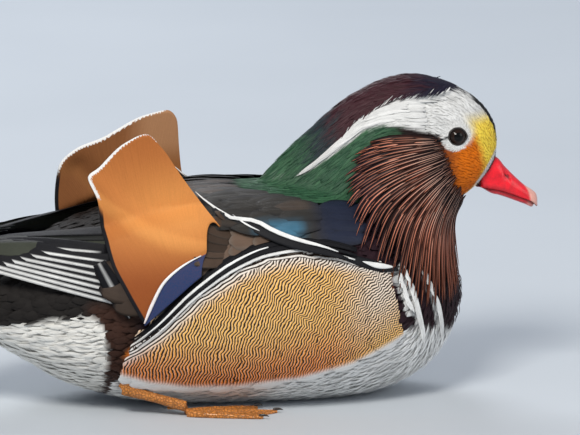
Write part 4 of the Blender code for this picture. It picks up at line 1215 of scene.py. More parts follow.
def ruff_material(colours):
    """Dark hackles with a pale shaft streak that turns to copper towards the tip."""
    material, g, shader = new_material("ruff_hackle", 0.45, specular_ior_level=0.15)
    along, over, beside = vane_parts(g)
    hairs = strands(g, along, over, 8.0, 2.0)
    width = g.scaled(g.ranged(along, 0.0, 0.8), 0.09, 0.08)
    ragged = g.plus(beside, g.scaled(hairs, 0.16, -0.08))
    streak = g.ranged(g.minus(ragged, width), 0.09, -0.04)
    pale, salmon, copper = colours.ruff_pale, colours.ruff_salmon, colours.ruff_copper
    tint = g.ramp(along, (0.0, copper), (0.1, pale), (0.42, pale), (0.72, salmon), (1.0, copper))
    bright = g.scaled(g.value("tone"), 0.6, 0.5)
    streak_colour = g.shaded(tint, g.times(bright, g.ranged(hairs, 0.3, 0.7, 0.75, 1.2)))
    base = g.shaded(g.colour("mark"), g.ranged(hairs, 0.3, 0.7, 0.6, 1.4))
    fade = g.times(streak, g.scaled(g.value("tone"), 0.35, 0.65))
    set_colour(g, shader, g.mixed(fade, base, streak_colour))
    set_bump(g, shader, g.plus(hairs, g.times(streak, 0.8)), 0.25)
    return material


# ---- Flanks ----

def flank_place(u, v):
    """x and z on the flank, for u from front to rear and v from its lower to its upper edge."""
    low, high = read_line(FLANK_BOTTOM, u), read_line(FLANK_TOP, u)
    return low + (high - low) * v


def flank_rim(x, z):
    """How far a place lies from the flank's upper and rear edge."""
    return line_distance(FLANK_TOP, x, z)


def flank_material(colours, sizes):
    """Buff feathers crossed by fine black wavy bars, with bolder ones along the upper edge."""
    material, g, shader = new_material("flank_plumage", 0.62, specular_ior_level=0.2)
    along, over, beside = vane_parts(g)
    radius, arc, rim = g.value("radius"), g.value("arc"), g.value("rim")
    zigzag = g.minus(g.noise(1.0, 1.0, g.vector(g.times(arc, 0.26), g.times(radius, 0.06)), 0.4), 0.5)
    tiny = g.minus(g.noise(480.0, 1.0), 0.5)
    place = g.scaled(zigzag, 4.6, g.scaled(tiny, 1.0, radius))
    bent = g.times(place, 2 * math.pi / (sizes.bar_period / MM))
    wave = g.sine(bent)
    bold = g.sine(g.scaled(g.scaled(zigzag, 1.6, rim), 2 * math.pi / 1.6, -0.9))
    near = g.ranged(g.scaled(zigzag, 4.0, g.value("inset")), 5.6, 4.8)
    bar = g.mixed(near, g.ranged(wave, -0.12, 0.32), g.ranged(bold, -0.05, 0.3))
    strength = g.times(bar, g.value("barred"))
    hairs = strands(g, along, over, 9.0)
    base = g.shaded(g.colour("mark"), g.ranged(hairs, 0.3, 0.7, 0.86, 1.1))
    gleam = g.ranged(g.sine(g.plus(bent, 1.9)), 0.5, 0.95)
    base = g.mixed(g.times(gleam, 0.3), base, colours.white)
    set_colour(g, shader, g.mixed(strength, base, colours.bar_black))
    set_bump(g, shader, g.plus(hairs, g.times(barbs(g, along, beside, 22, 0.25), 0.4)), 0.3)
    return material


def make_flank(word, side, colours, sizes):
    """Rows of broad round feathers on the flank, laid from the front to the rear."""
    rng = np.random.default_rng(41)
    rows, across = sizes.flank_rows, 14
    spots = []
    for i in range(rows):
        for k in range(across + i % 2):
            u = -0.02 + 0.9 * (i + rng.uniform(-0.15, 0.15)) / (rows - 1)
            v = min(max((k + 0.5 - 0.5 * (i % 2) + rng.uniform(-0.1, 0.1)) / across, 0.0), 1.0)
            x, z = flank_place(max(u, 0.0), v)
            root = the_ground().side(x + min(u, 0) * 150, z, side)[0]
            length = (13.5 + 4.5 * u + rng.uniform(-0.8, 0.8)) * (1 - 0.5 * smooth((u - 0.7) / 0.18))
            half = (4.3 + 0.9 * u) * (0.75 + 0.25 * math.sin(math.pi * v))
            spots.append((*root, length, half, 0.25 * rng.random()))
    roots, lengths, halves, lifts = columns_of(spots)
    lines, ups = combed(roots, lengths, 8, 0.3 + lifts, 1.5 + lifts, 0.03, 42)

    def paint(points, vane, roots):
        x, _, z = points.T
        low = (z - height_of(FLANK_BOTTOM, x)) / 50
        gold = mix(colours.gold, colours.orange, smooth((0.62 - low) * 1.7) * smooth((84 - x) / 40))
        pale = np.maximum(smooth((9 - flank_rim(x, z)) / 8), 0.75 * smooth((x - 52) / 30) * smooth(low * 1.6))
        return mix(mix(gold, colours.white, pale * 0.9), colours.white, smooth((0.06 - low) / 0.08))
    material = once("flank_material", flank_material, colours, sizes)
    grids = vanes(lines, ups, halves, (0.6, 0.12, 0.6, 0.55), 0.1, 7)
    made = dress("flank_feathers_" + word, grids, material, "flank_" + word, "flank_feather", paint)
    x, _, z = places(made.data).T
    beside, above = x - BAR_CENTRE[0], z - BAR_CENTRE[1]
    radius, rim = np.hypot(beside, above), flank_rim(x, z)
    for name, values in (
        ("radius", radius - 0.0009 * np.maximum(radius - 85, 0) ** 2),
        ("arc", 90 * np.arctan2(above, beside)),
        ("rim", rim),
        ("inset", rim * (1 + 1.3 * smooth((x - 2) / 26))),
        ("barred", smooth((z - height_of(FLANK_BOTTOM, x) + 1) / 5)),
    ):
        put_attribute(made.data, name, values)


# ---- Scapulars and folded wings ----

def make_scapulars(word, side, colours):
    """Broad glossy feathers over the shoulder and the back."""
    ground = the_ground()
    rng = np.random.default_rng(51)
    spots = []
    rows, across = 11, 9
    for i in range(rows):
        for k in range(across):
            x = 74 - 76 * (i + rng.uniform(-0.12, 0.12)) / (rows - 1)
            low = 38 + 8 * smooth((66 - x) / 60)
            degrees = low + (94 - low) * (k + 0.5 + 0.5 * (i % 2) + rng.uniform(-0.12, 0.12)) / across
            place, _ = ground.around(x, min(float(degrees), 89.5), side)
            nape = float(height_of(NAPE_EDGE, place.x))
            if place.x > 12 and place.z > nape - 1:
                place = ground.side(place.x, nape - 2 - 4 * rng.random(), side)[0]
            length, half = 23 + rng.uniform(-2, 2), 5.0 + rng.uniform(-0.4, 0.4)
            wing = smooth((64 - x) / 14) * smooth((80 - degrees) / 14)
            spots.append((*place, length, half, 0.6 + 2.6 * wing + 0.3 * rng.random()))
    roots, lengths, halves, lows = columns_of(spots)
    lines, ups = combed(roots, lengths, 9, lows, lows + 1.6, 0.04, 52)

    def paint(points, vane, roots):
        x, _, z = points.T
        blue = smooth((x - 14) / 8) * smooth((46 - x) / 8) * smooth((z - 84) / 4) * smooth((97 - z) / 4)
        brown = 0.3 * smooth((hashed(roots, 13.0) - 0.7) / 0.1) * smooth((52 - x) / 10)
        tint = mix(colours.mantle, colours.blue_sheen, blue * (0.35 + 0.65 * hashed(roots, 9.0)))
        tint = mix(mix(tint, colours.covert, brown), colours.navy, smooth((x - 44) / 12) * 0.8)
        return mix(tint, colours.black, 0.6 * border(vane, 0.38, 0.1, 0.86, 0.12))
    glossy = feather_material(
        "scapular_plumage_" + word, 0.42, count=24, strand=0.3, specular_ior_level=0.2)
    grids = vanes(lines, ups, halves, (0.5, 0.06, 0.45, 0.9), 0.14, 5)
    dress("scapular_feathers_" + word, grids, glossy, "scapulars_" + word, "scapular_feather", paint)
    make_stripes(word, side, colours)


def make_stripes(word, side, colours):
    """White lances over the shoulder and up beside the sail, with dark ones that set them off."""
    stripes = []
    for lances, lift in ((STRIPES, 5.9), (STRIPE_SHADES, 4.9)):
        for line, half in lances:
            height = lift - 3.0 * (line[0][0] > 80)
            path = read_line(line, np.linspace(0, 1, 14))
            place, up = laid(path, height, side)
            if line[-1][0] < 0:
                free = np.array([sail_place(x, z, side, height, 2.5) for x, z in path])
                risen = smooth((path[:, 1] - 90) / 8)[:, None]
                place = place * (1 - risen) + free * risen
                up = unit(up * (1 - risen) + np.array((0, side, 0.3)) * risen)
            stripes.append((place, up, half))
    grids = tier(stripes, (0.2, 0.08, 0.45, 0.9), 0.15, 5)

    def paint(points, vane, roots):
        white = [1] * len(STRIPES) + [0] * len(STRIPE_SHADES)
        return mix(colours.black, colours.white, per_feather(white, grids))
    crisp = feather_material(
        "stripe_plumage_" + word, 0.5, count=40, depth=0.06, strand=0.2, bump=0.3, specular_ior_level=0.2)
    dress("white_stripes_" + word, grids, crisp, "scapulars_" + word, "scapular_feather", paint, 0.25)


def make_wing(word, side, colours):
    """A folded wing, from its coverts to its quills."""
    plain = feather_material("wing_plumage_" + word, 0.5, count=30, strand=0.25, edge=0.5)
    for make in (
        make_wing_coverts, make_secondaries, make_primaries, make_inner_quills, make_wrist_patch,
        make_tertial, make_sail_coverts,
    ):
        name, grids, paint, thick = make(side, colours)
        dress(name + word, grids, plain, "wing_" + word, "wing_feather", paint, thick)


def make_wing_coverts(side, colours):
    """Rounded feathers over the fold of the wing."""
    rng = np.random.default_rng(61)
    spots = []
    for i in range(7):
        for k in range(5):
            x = 44 - 66 * (i + rng.uniform(-0.1, 0.1)) / 6
            start, _ = the_ground().side(x, height_of(WING_EDGE, x) + 2.5, side)
            low = math.degrees(math.atan2(start.z - 50, abs(start.y)))
            degrees = low + (62 - low) * (k + 0.5 * (i % 2)) / 5
            spots.append((*the_ground().around(x, degrees, side)[0], 16 + rng.uniform(-1, 1)))
    roots, lengths = columns_of(spots)
    low = 1.2 + 0.4 * rng.random(len(roots))
    lines, ups = combed(roots, lengths, 7, low, low + 1.3, 0.04, 62)
    grids = vanes(lines, ups, np.full(len(roots), 5.4), (0.6, 0.15, 0.6, 0.5), 0.1, 5)

    def paint(points, vane, roots):
        tint = mix(colours.covert, colours.back, smooth((-4 - points[:, 0]) / 10))
        return mix(tint, colours.covert_edge, 0.55 * border(vane, 0.36, 0.1, 0.88, 0.1))
    return "wing_coverts_", grids, paint, 0.0


def make_secondaries(side, colours):
    """Black quills with white edges that run along the flank's upper edge."""
    even = np.linspace(0, 1, 26)
    path = read_line(FLANK_TOP, np.linspace(0.16, 0.93, 26))
    along = unit(np.gradient(path, axis=0))
    beyond = np.stack([along[:, 1], -along[:, 0]], axis=1)
    beyond *= np.sign(beyond[:, 1:])
    quills = []
    for aside, height, half, first, _ in SECONDARY_QUILLS:
        spots = (path + beyond * aside)[first:]
        old = np.linspace(0, 1, len(spots))
        spots = np.stack([np.interp(even, old, column) for column in spots.T], axis=1)
        quills.append((*laid(spots, height, side), half))
    grids = tier(quills, (0.4, 0.1, 0.5, 0.8), 0.15, 5)

    def paint(points, vane, roots):
        return mix(colours.black, colours.white, per_feather([row[-1] for row in SECONDARY_QUILLS], grids))
    return "secondaries_", grids, paint, 0.3


def quill_fan(fan, count, steps, side):
    """Stiff quills from the skin to their free tips, which change evenly from the first to the last."""
    quills, t = [], np.linspace(0, 1, steps)
    mirror = np.array((1, side, 1))
    for share in np.linspace(0, 1, count):
        at, height, tip, bulge, outward, raised, half = (
            np.array(first) + (np.array(last) - np.array(first)) * share for first, last in fan)
        place, up = the_ground().side(*at, side, float(height))
        root, tip, bulge = np.array(place), tip * mirror, bulge * mirror
        way = tip - root
        line = bezier(root, root + way * 0.33 + bulge, root + way * 0.7 + bulge, tip, t)
        facing = unit(mix(np.array(up)[None], unit(outward * mirror)[None], np.minimum(1, 2 * t)))
        quills.append((line + facing * raised, facing, half))
    return quills


def make_primaries(side, colours):
    """The lower quills of the wing tip, with silver outer edges."""
    low_edge = 1.0 if side < 0 else 0.0

    def paint(points, vane, roots):
        beside = np.abs(vane[:, 1] - low_edge)
        silver = smooth((0.21 - beside) / 0.06) * smooth((vane[:, 0] - 0.05) / 0.1)
        return mix(colours.black, colours.silver, silver)
    grids = tier(quill_fan(PRIMARY_FAN, 8, 20, side), (0.75, 0.12, 0.5, 0.45), 0.08, 9)
    return "primaries_", grids, paint, 0.3


def make_inner_quills(side, colours):
    """The dark quills over the rump above the primaries."""
    grids = tier(quill_fan(INNER_FAN, 6, 16, side), (0.7, 0.12, 0.5, 0.5), 0.1, 7)

    def paint(points, vane, roots):
        quill = per_feather(np.linspace(0, 1, 6), grids)
        edge = smooth((np.abs(vane[:, 1] - 0.5) - 0.36) / 0.12)
        olive = smooth((0.9 - quill) / 0.3) * (1 - 0.6 * edge) * smooth((0.98 - vane[:, 0]) / 0.1)
        return mix(colours.black, colours.olive, olive * 0.9)
    return "inner_quills_", grids, paint, 0.3


def make_tertial(side, colours):
    """The dark tertial behind the sail's root."""
    t = np.linspace(0, 1, 12)
    place = np.stack([-59.5 + 15 * t, side * (TERTIAL_ASIDE[side] - 0.5 * t), 79 - 28 * t], axis=1)
    up = np.zeros_like(place) + unit((-0.35, side * 0.9, 0.25))

    def paint(points, vane, roots):
        shaft = smooth((0.09 - np.abs(vane[:, 1] - 0.5)) / 0.03)
        return mix(colours.black, colours.silver, 0.55 * shaft)
    return "dark_tertial_", tier([(place, up, 4.6)], (0.7, 0.2, 0.5), 0.12, 7), paint, 0.4


def make_wrist_patch(side, colours):
    """Brown rounded feathers over the roots of the primaries."""
    height = 3.9 + 1.4 * np.sin(2.4 * np.linspace(0, 1, 10))
    feathers = [(*laid(np.linspace(root, tip, 10), height, side), half) for root, tip, half in WRIST_FEATHERS]

    def paint(points, vane, roots):
        brown = mix(colours.covert, colours.tail_dark, 0.7)
        return mix(brown, colours.black, smooth((vane[:, 0] - 0.9) / 0.08))
    return "wrist_patch_", tier(feathers, (0.6, 0.1, 0.6, 0.5), 0.08, 7), paint, 0.3


# ---- Sails ----

def sail_place(x, z, side, lift=SAIL_LIFT, inward=0.0):
    """Where the sail stands: against the body low down, then upright clear of the back."""
    ground = the_ground()
    spread = SAIL_UPRIGHT_AT - inward + 0.02 * (z - 100) + 2.5 * math.sin((x + 60) / 22)
    beside = 0.0
    hit = ground.tree.ray_cast(Vector((x, side * 200, z)), Vector((0, -side, 0)))[0]
    if hit is not None:
        up = ground.side(x, z, side)[1]
        beside = abs(hit.y) + lift / max(abs(up.y), 0.45)
    firm = 6.0 if inward == 0 else 2.0
    blend = firm * math.log(math.exp((beside - spread) / firm) + 1)
    return np.array([x, side * (spread + blend), z])


def sail_material(colours):
    """A stiff cinnamon vane with fine barbs, a white fringe, a black rear edge and a blue outer web."""
    material, g, shader = new_material("sail_vane", 0.65, specular_ior_level=0.12)
    along, over, _ = vane_parts(g)
    rim, web = g.value("rim"), g.value("outer_web")
    warp = g.noise(60.0, 2.0)
    rib = g.sine(g.scaled(along, 2 * math.pi * 120, g.times(warp, 14.0)))
    fine = g.noise(1.0, 3.0, g.vector(g.times(along, 150.0), g.times(over, 4.0)))
    mottle = g.noise(1500.0, 2.0)
    value = g.plus(g.ranged(fine, 0.3, 0.7, 0.95, 1.04), g.scaled(mottle, 0.16, -0.08))
    value = g.times(value, g.scaled(rib, 0.012, 1.0))
    base = g.shaded(g.colour("mark"), value)
    base = g.mixed(g.times(web, g.ranged(mottle, 0.2, 0.8, 0.85, 1.0)), base, colours.speculum)
    ragged = g.scaled(g.noise(1600.0, 1.0), 1.6, rim)
    comb = g.times(g.sine(g.times(along, 2 * math.pi * 95)), 0.25)
    deep = g.minus(g.plus(ragged, comb), g.scaled(g.value("white_edge"), 3.0, 0.8))
    white_edge = g.ranged(deep, 0.15, -0.15)
    black_edge = g.times(g.value("black_edge"), g.ranged(rim, 2.0, 1.6))
    base = g.mixed(white_edge, base, colours.white)
    base = g.mixed(black_edge, base, colours.black)
    set_colour(g, shader, base)
    set_bump(g, shader, g.plus(g.times(rib, 0.3), g.plus(fine, mottle)), 0.15, 0.0003)
    return material


def sail_grid(side):
    """The sail's places, where each lies between the web's edge and the margin, and its share along."""
    over = np.concatenate([np.linspace(-1, -0.07, 12), [0.0], np.linspace(0.04, 1, SAIL_COLUMNS - 13)])
    starts = 0.16 - 0.14 * np.maximum(over, 0) + 0.12 * np.maximum(-over, 0)
    shares = starts + (0.985 - starts) * np.linspace(0, 1, SAIL_ROWS)[:, None]
    flat = np.zeros((SAIL_ROWS, SAIL_COLUMNS, 2))
    for j, v in enumerate(over):
        shaft = read_line(SAIL_SHAFT, shares[:, j])
        edge = read_line(SAIL_MARGIN[side] if v > 0 else SAIL_OUTER, shares[:, j])
        flat[:, j] = shaft + (edge - shaft) * abs(v)
    middle = np.array([[sail_place(x, z, side) for x, z in row] for row in flat])
    x, z = middle[..., 0], middle[..., 2]
    wave = 1.0 * np.sin((x + 0.9 * z) / 11.5) + 0.7 * np.sin((z - 0.4 * x) / 15 + 1.0)
    fold = np.exp(-(line_distance(SAIL_FOLD, x, z) / 6.5) ** 2)
    inside = smooth(line_distance(eased(SAIL_MARGIN[side], 60), x, z) / 9)
    middle[..., 1] += side * (wave * smooth((z - 84) / 24) * 0.7 + 2.2 * fold * inside) * (over > 0)
    facing = np.cross(np.gradient(middle, axis=0), np.gradient(middle, axis=1))
    if facing[SAIL_ROWS // 2, SAIL_COLUMNS // 2, 1] * side < 0:
        return middle[:, ::-1], over[::-1], shares[:, ::-1]
    return middle, over, shares


def sail_colour_and_light(side, x, z, colours):
    """Cinnamon, brightest where the vane faces the light, darker low down and on the shaded sail."""
    # Painted light: a pool of light round the middle of the vane and a highlight along the crease below the
    # fold.
    bright = np.exp(-(((x + 18) / 26) ** 2 + ((z - 102) / 17) ** 2))
    fold = height_of(SAIL_FOLD, x)
    crease = smooth((fold + 3 - z) / 3) * smooth((z - fold + 9) / 6)
    tint = mix(colours.cinnamon, colours.cinnamon_light, np.clip(bright + 0.5 * crease, 0, 1))
    dark = smooth((92 - z) / 26) * 0.85 + smooth((z - 116) / 24) * 0.3
    tint = mix(tint, colours.cinnamon_dark, np.clip(dark, 0, 1))
    # Painted shade: the far sail is darkened all over, and painted light makes its upper front corner lighter
    # again.
    if side == LEFT:
        tint = mix(tint, colours.cinnamon_shade, 0.75)
        tint = mix(tint, colours.cinnamon_lit_corner, 0.85 * smooth((x + 36) / 16) * smooth((z - 108) / 14))
    return tint


def make_sail(word, side, colours):
    """The raised tertial: a broad inner vane above its shaft and a narrow blue web below it."""
    middle, over, shares = sail_grid(side)
    mesh, points, _, _ = feather_mesh("sail_vane_" + word, middle[None], SAIL_THICK, 0.8)
    over, share = np.tile(over, 2 * SAIL_ROWS), np.tile(shares.ravel(), 2)
    x, _, z = points.T
    (start, end, fade), widths = SAIL_FRINGE[side]
    top = smooth((share - start) / fade) * smooth((end - share) / fade)
    rim = line_distance(eased(SAIL_MARGIN[side], 120), x, z)
    for name, values in (
        ("rim", np.where(over < 0, 9.0, rim)),
        ("outer_web", smooth((-over - 0.03) / 0.04)),
        ("white_edge", top * height_of(widths, x) - 0.6 * (top <= 0.02)),
        ("black_edge", smooth((share - 0.66) / 0.04)),
        ("tone", np.full(len(points), 0.5)),
    ):
        put_attribute(mesh, name, values)
    put_attribute(mesh, "mark", sail_colour_and_light(side, x, z, colours), "FLOAT_COLOR")
    material = once("sail_material", sail_material, colours)
    finish(add_object("sail_vane_" + word, mesh), material, "sail_" + word, slot="sail_feather")
    shaft = read_line(SAIL_SHAFT, np.linspace(0.2, 0.985, 30))
    place = np.array([sail_place(x, z, side) for x, z in shaft])
    up = np.zeros_like(place) + (0, side, 0.15)
    quill = feather_material("sail_quill_" + word, 0.45, count=2, depth=0.02, strand=0.08, bump=0.15)

    def paint(points, vane, roots):
        return mix(colours.white, colours.nail, 0.25 * vane[:, 0] ** 3)
    grids = tier([(place + up * 0.7, unit(up), 0.85)], (0.3, 0.4, 0.8), 0.5, 5)
    dress("sail_shaft_" + word, grids, quill, "sail_" + word, "sail_feather", paint, 0.4)


def make_sail_coverts(side, colours):
    """Rounded feathers that lap over the root of the sail."""
    rng = np.random.default_rng(71)
    t = np.linspace(0, 1, 10)
    feathers = []
    for share in np.linspace(0, 1, 9):
        tip = read_line(SAIL_COVERTS, share) + rng.uniform(-0.8, 0.8, 2)
        path = tip + (1 - t)[:, None] * (24, -4.0 + 9.0 * share)
        feathers.append((*laid(path, 1.0 + 6.4 * t**2, side), 3.2))

    def paint(points, vane, roots):
        dusky = np.array(colours.covert) * (0.35 + 0.35 * hashed(roots, 2.0))[:, None]
        return mix(dusky, colours.covert_edge, 0.25 * border(vane, 0.4, 0.08, 0.9, 0.08))
    return "sail_coverts_", tier(feathers, (0.6, 0.14, 0.6, 0.5), 0.12, 7), paint, 0.25


# ---- Tail ----

def make_tail(colours):
    """Tiers of tail quills over the rump's taper, with the coverts above and below."""
    quills = []
    for count, root_x, root_half, root_z, tip_x, tip_half, tip_z, outer in TAIL_TIERS:
        for i in range(count):
            across = 2 * (i + 0.5) / count - 1
            u = np.linspace(0, 1, 14)
            half = root_half + (tip_half - root_half) * u
            shorter = 1 - (1 - outer) * across**2
            arch = TAIL_ARCH * across**2 * (half / tip_half)
            height = root_z + (tip_z - root_z) * u - arch + 0.35 * (1 - abs(across)) * count / 3
            line = np.stack([root_x + (tip_x - root_x) * u * shorter, half * across, height], axis=1)
            up = np.zeros_like(line) + unit((0.0, 0.28 * across, 1.0))
            quills.append((line, up, 1.5 * tip_half / count))

    def paint(points, vane, roots):
        low = smooth((47 - roots[:, 2]) / 3)
        tint = mix(colours.tail_dark, colours.olive, 0.5 * smooth((roots[:, 2] - 60) / 4))
        return mix(tint, np.array(colours.white) * 0.9, low)
    plain = feather_material("tail_plumage", 0.5, count=34, strand=0.25, edge=0.4)
    grids = tier(quills, (0.7, 0.15, 0.6, 0.5), 0.12, 5)
    dress("tail_quills", grids, plain, "tail", "tail_feather", paint, 0.35)


# ---- Bill, eyes and feet ----

def bill_edge(x):
    """The height of the cutting edge at x."""
    lines = np.array(UPPER_BILL)
    return np.interp(x, lines[:, 0], lines[:, 2])


def bill_rings(lower, steps=56, sides=48):
    """Rings of a mandible: the upper one an arch over the cutting edge, the lower a shallow dish."""
    rings = []
    across, up = rounded(np.cos(turns(sides)), 2.3), rounded(np.sin(turns(sides)), 2.3)
    for x, top, edge, half in eased(UPPER_BILL, steps):
        if lower:
            hidden = smooth((146 - x) / 9)
            x = x - 1.6
            depth = 3.2 * min(1, half / 4) * (1 - 0.85 * hidden)
            half = (half - 1.2 * min(1, half / 3)) * (1 - 0.3 * hidden)
            z = bill_edge(x) + 0.35 + np.where(up > 0, 0.01, depth) * up
        else:
            height = np.where(up > 0, top - edge, 0.5)
            z = edge + 0.5 + (height - 0.5) * up
        rings.append(np.stack([np.full(sides, x), half * across, z], axis=1))
    return rings


def nostril_reach(spots, side):
    """How far places lie from a nostril's middle: 1 at its rim."""
    away = spots - np.array(NOSTRIL) * (1, side, 1)
    return np.hypot(away @ unit((0.86, 0, -0.5)) / 2.4, away @ unit((0.5, 0, 0.86)))


def carve_bill(spots, lower):
    """Moves a mandible's places: nostrils, the groove over the edge and the comb below it."""
    x, y, z = spots.T
    edge = bill_edge(x)
    if lower:
        comb = 0.22 * np.sin(x * 2 * np.pi / 1.5) * smooth((z - edge + 1.6) / 0.8) * smooth((161 - x) / 2)
        spots[:, 1] += np.sign(y) * comb
        return
    shift = -np.sign(y) * 0.3 * np.exp(-((z - edge - 2.1) / 0.5) ** 2) * smooth((163 - x) / 4)
    for side in SIDES.values():
        reach = nostril_reach(spots, side)
        lip = 0.32 * np.exp(-((reach - 1.35) / 0.35) ** 2) - 1.5 * smooth((1.0 - reach) / 0.5)
        shift += side * lip * (y * side > 0)
    spots[:, 1] += shift
    spots[:, 2] -= 1.1 * smooth((x - 162.5) / 3) * smooth((edge + 3.0 - z) / 3)


def make_bill(colours):
    """Both halves of the bill, with nostrils, a ridge above the cutting edge and a pale nail."""
    material, g, shader = new_material(
        "bill_horn", 0.32, coat_weight=0.2, coat_roughness=0.2, specular_ior_level=0.35,
        subsurface_weight=0.06, subsurface_scale=0.002)
    cloud = g.noise(260.0, 3.0)
    grain = g.noise(1400.0, 2.0)
    base = g.mixed(g.ranged(cloud, 0.35, 0.7), colours.crimson, colours.crimson_dark)
    base = g.mixed(g.value("nail"), base, colours.nail)
    # Painted shade in the nostrils and along the cutting edge.
    base = g.mixed(g.value("painted_shade"), base, colours.bill_shade)
    set_colour(g, shader, g.shaded(base, g.ranged(grain, 0.3, 0.7, 0.94, 1.05)))
    set_bump(g, shader, g.plus(cloud, g.times(grain, 0.25)), 0.25, 0.0005)
    for name, lower in (("bill_upper", False), ("bill_lower", True)):
        mesh = mesh_of(name + "_horn", *loft(bill_rings(lower)))
        spots = places(mesh)
        carve_bill(spots, lower)
        set_places(mesh, spots)
        with opened(mesh) as shape:
            bmesh.ops.bisect_plane(
                shape, geom=shape.verts[:] + shape.edges[:] + shape.faces[:], dist=1e-8, clear_outer=True,
                plane_co=Vector(BILL_FOOT * MM) - Vector(BILL_WAY).normalized() * BILL_SUNK,
                plane_no=-Vector(BILL_WAY))
            bmesh.ops.holes_fill(shape, edges=[e for e in shape.edges if e.is_boundary])
        spots = places(mesh)
        x, y, z = spots.T
        edge = bill_edge(x)
        nail = smooth((x - 158.5 - 0.07 * y**2) / 2.2) * (0.6 if lower else 1.0)
        # Painted shade: the lower mandible darkens where it lies under the upper one, and the upper one
        # darkens along its cutting edge and inside its nostrils.
        if lower:
            painted_shade = 0.55 * smooth((z - edge + 1.2) / 0.8)
        else:
            painted_shade = 0.7 * smooth((edge + 0.6 - z) / 0.5)
            for side in SIDES.values():
                painted_shade = np.maximum(painted_shade, smooth((0.85 - nostril_reach(spots, side)) / 0.3) * (y * side > 0))
        put_attribute(mesh, "nail", nail)
        put_attribute(mesh, "painted_shade", painted_shade)
        finish(add_object(name + "_horn", mesh), material, name, slot="bill_horn")


def eye_material(word, pupil_at, colours):
    """A dark ball whose pupil and iris lie round a place in metres."""
    material, g, shader = new_material(
        "wet_eye_" + word, 0.06, coat_weight=0.12, coat_roughness=0.02, specular_ior_level=0.14)
    here = g("ShaderNodeVectorMath", {0: g.space(), 1: tuple(pupil_at)}, operation="DISTANCE")
    ring = g.ramp(
        g.ranged(here.outputs["Value"], 0.0, 0.0050), (0.0, colours.pupil), (0.44, colours.pupil),
        (0.5, colours.iris), (0.8, colours.iris_edge), (1.0, colours.pupil))
    set_colour(g, shader, g.shaded(ring, g.ranged(g.noise(2600.0, 2.0), 0.3, 0.7, 0.8, 1.2)))
    return material


def eyelid_mesh(name, centre, out, corner_at, around=56, sides=10):
    """An uneven ring of bare lid round an eye that looks out, drawn out at its front corner."""
    first = unit(np.cross(out, (0, 0, 1)))
    second = np.cross(out, first)
    points, faces = [], []
    for i, turn in enumerate(turns(around)):
        way = first * math.cos(turn) + second * math.sin(turn)
        oval = 1 - 0.07 * math.sin(turn) ** 2
        corner = oval + 0.1 * math.exp(-((turn - corner_at) / 0.35) ** 2)
        thick = 0.5 + 0.04 * math.sin(9 * turn)
        for k, roll in enumerate(turns(sides)):
            reach = 4.45 * corner + thick * math.cos(roll)
            points.append(centre + out * 2.5 + way * reach + out * thick * math.sin(roll))
            a, b = i * sides + k, i * sides + (k + 1) % sides
            faces.append((a, b, (b + sides) % (around * sides), (a + sides) % (around * sides)))
    return mesh_of(name, points, faces)


def make_eyes(colours):
    """Round dark eyes under a wet cornea, each in a rim of bare lid."""
    lid, g, shader = new_material("eyelid_skin", 0.45)
    set_colour(g, shader, g.mixed(g.ranged(g.noise(900.0), 0.35, 0.65), colours.lid, colours.black))
    set_bump(g, shader, g.noise(1600.0), 0.3, 0.0003)
    for word, side in SIDES.items():
        centre = EYE_MIDDLE * (1, side, 1)
        out = unit((0.12, side * 1.0, 0.05))
        mesh = bpy.data.meshes.new("eye_ball_" + word)
        with opened(mesh) as shape:
            bmesh.ops.create_uvsphere(shape, u_segments=48, v_segments=28, radius=BALL_RADIUS * MM)
        spots = places(mesh)
        bulge = 0.3 * smooth((spots @ out / BALL_RADIUS - 0.8) / 0.2)
        set_places(mesh, spots + out * bulge[:, None] + centre)
        wet = eye_material(word, (centre + out * BALL_RADIUS) * MM, colours)
        finish(add_object("eye_ball_" + word, mesh), wet, "eye_" + word, slot="eye_dark")
        mesh = eyelid_mesh("eyelids_" + word, centre, out, 0 if side > 0 else math.pi)
        finish(add_object("eyelids_" + word, mesh), lid, slot="face_feather")


TOES = ((20, 57), (29, 45), (21, 34))


def claws_mesh(name, side, steps=7, sides=8):
    """A curved claw, narrow to its point, at the end of each toe."""
    points, faces = [], []
    for tip_x, tip_y in TOES:
        way = np.array((*unit((tip_x + 16.0, tip_y - 43.0)), 0))
        start = np.array((tip_x, tip_y, 1.5)) - way * 2.2
        base = len(points)
        for t in np.linspace(0, 1, steps):
            middle = start + way * 5.0 * t + np.array((0, 0, 0.9 * math.sin(t * 2.6) - 0.6 * t))
            radius = 0.95 * (1 - t) ** 0.7 + 0.06
            for turn in turns(sides):
                beside = np.array((-way[1], way[0], 0)) * math.cos(turn) * 0.7
                points.append((middle + radius * (beside + (0, 0, math.sin(turn)))) * (1, side, 1))
        for i in range(steps - 1):
            for k in range(sides):
                a, b = base + i * sides + k, base + i * sides + (k + 1) % sides
                faces.append((a, b, b + sides, a + sides))
        for end in (base, base + (steps - 1) * sides):
            faces.append(tuple(range(end, end + sides)))
    return mesh_of(name, points, faces)


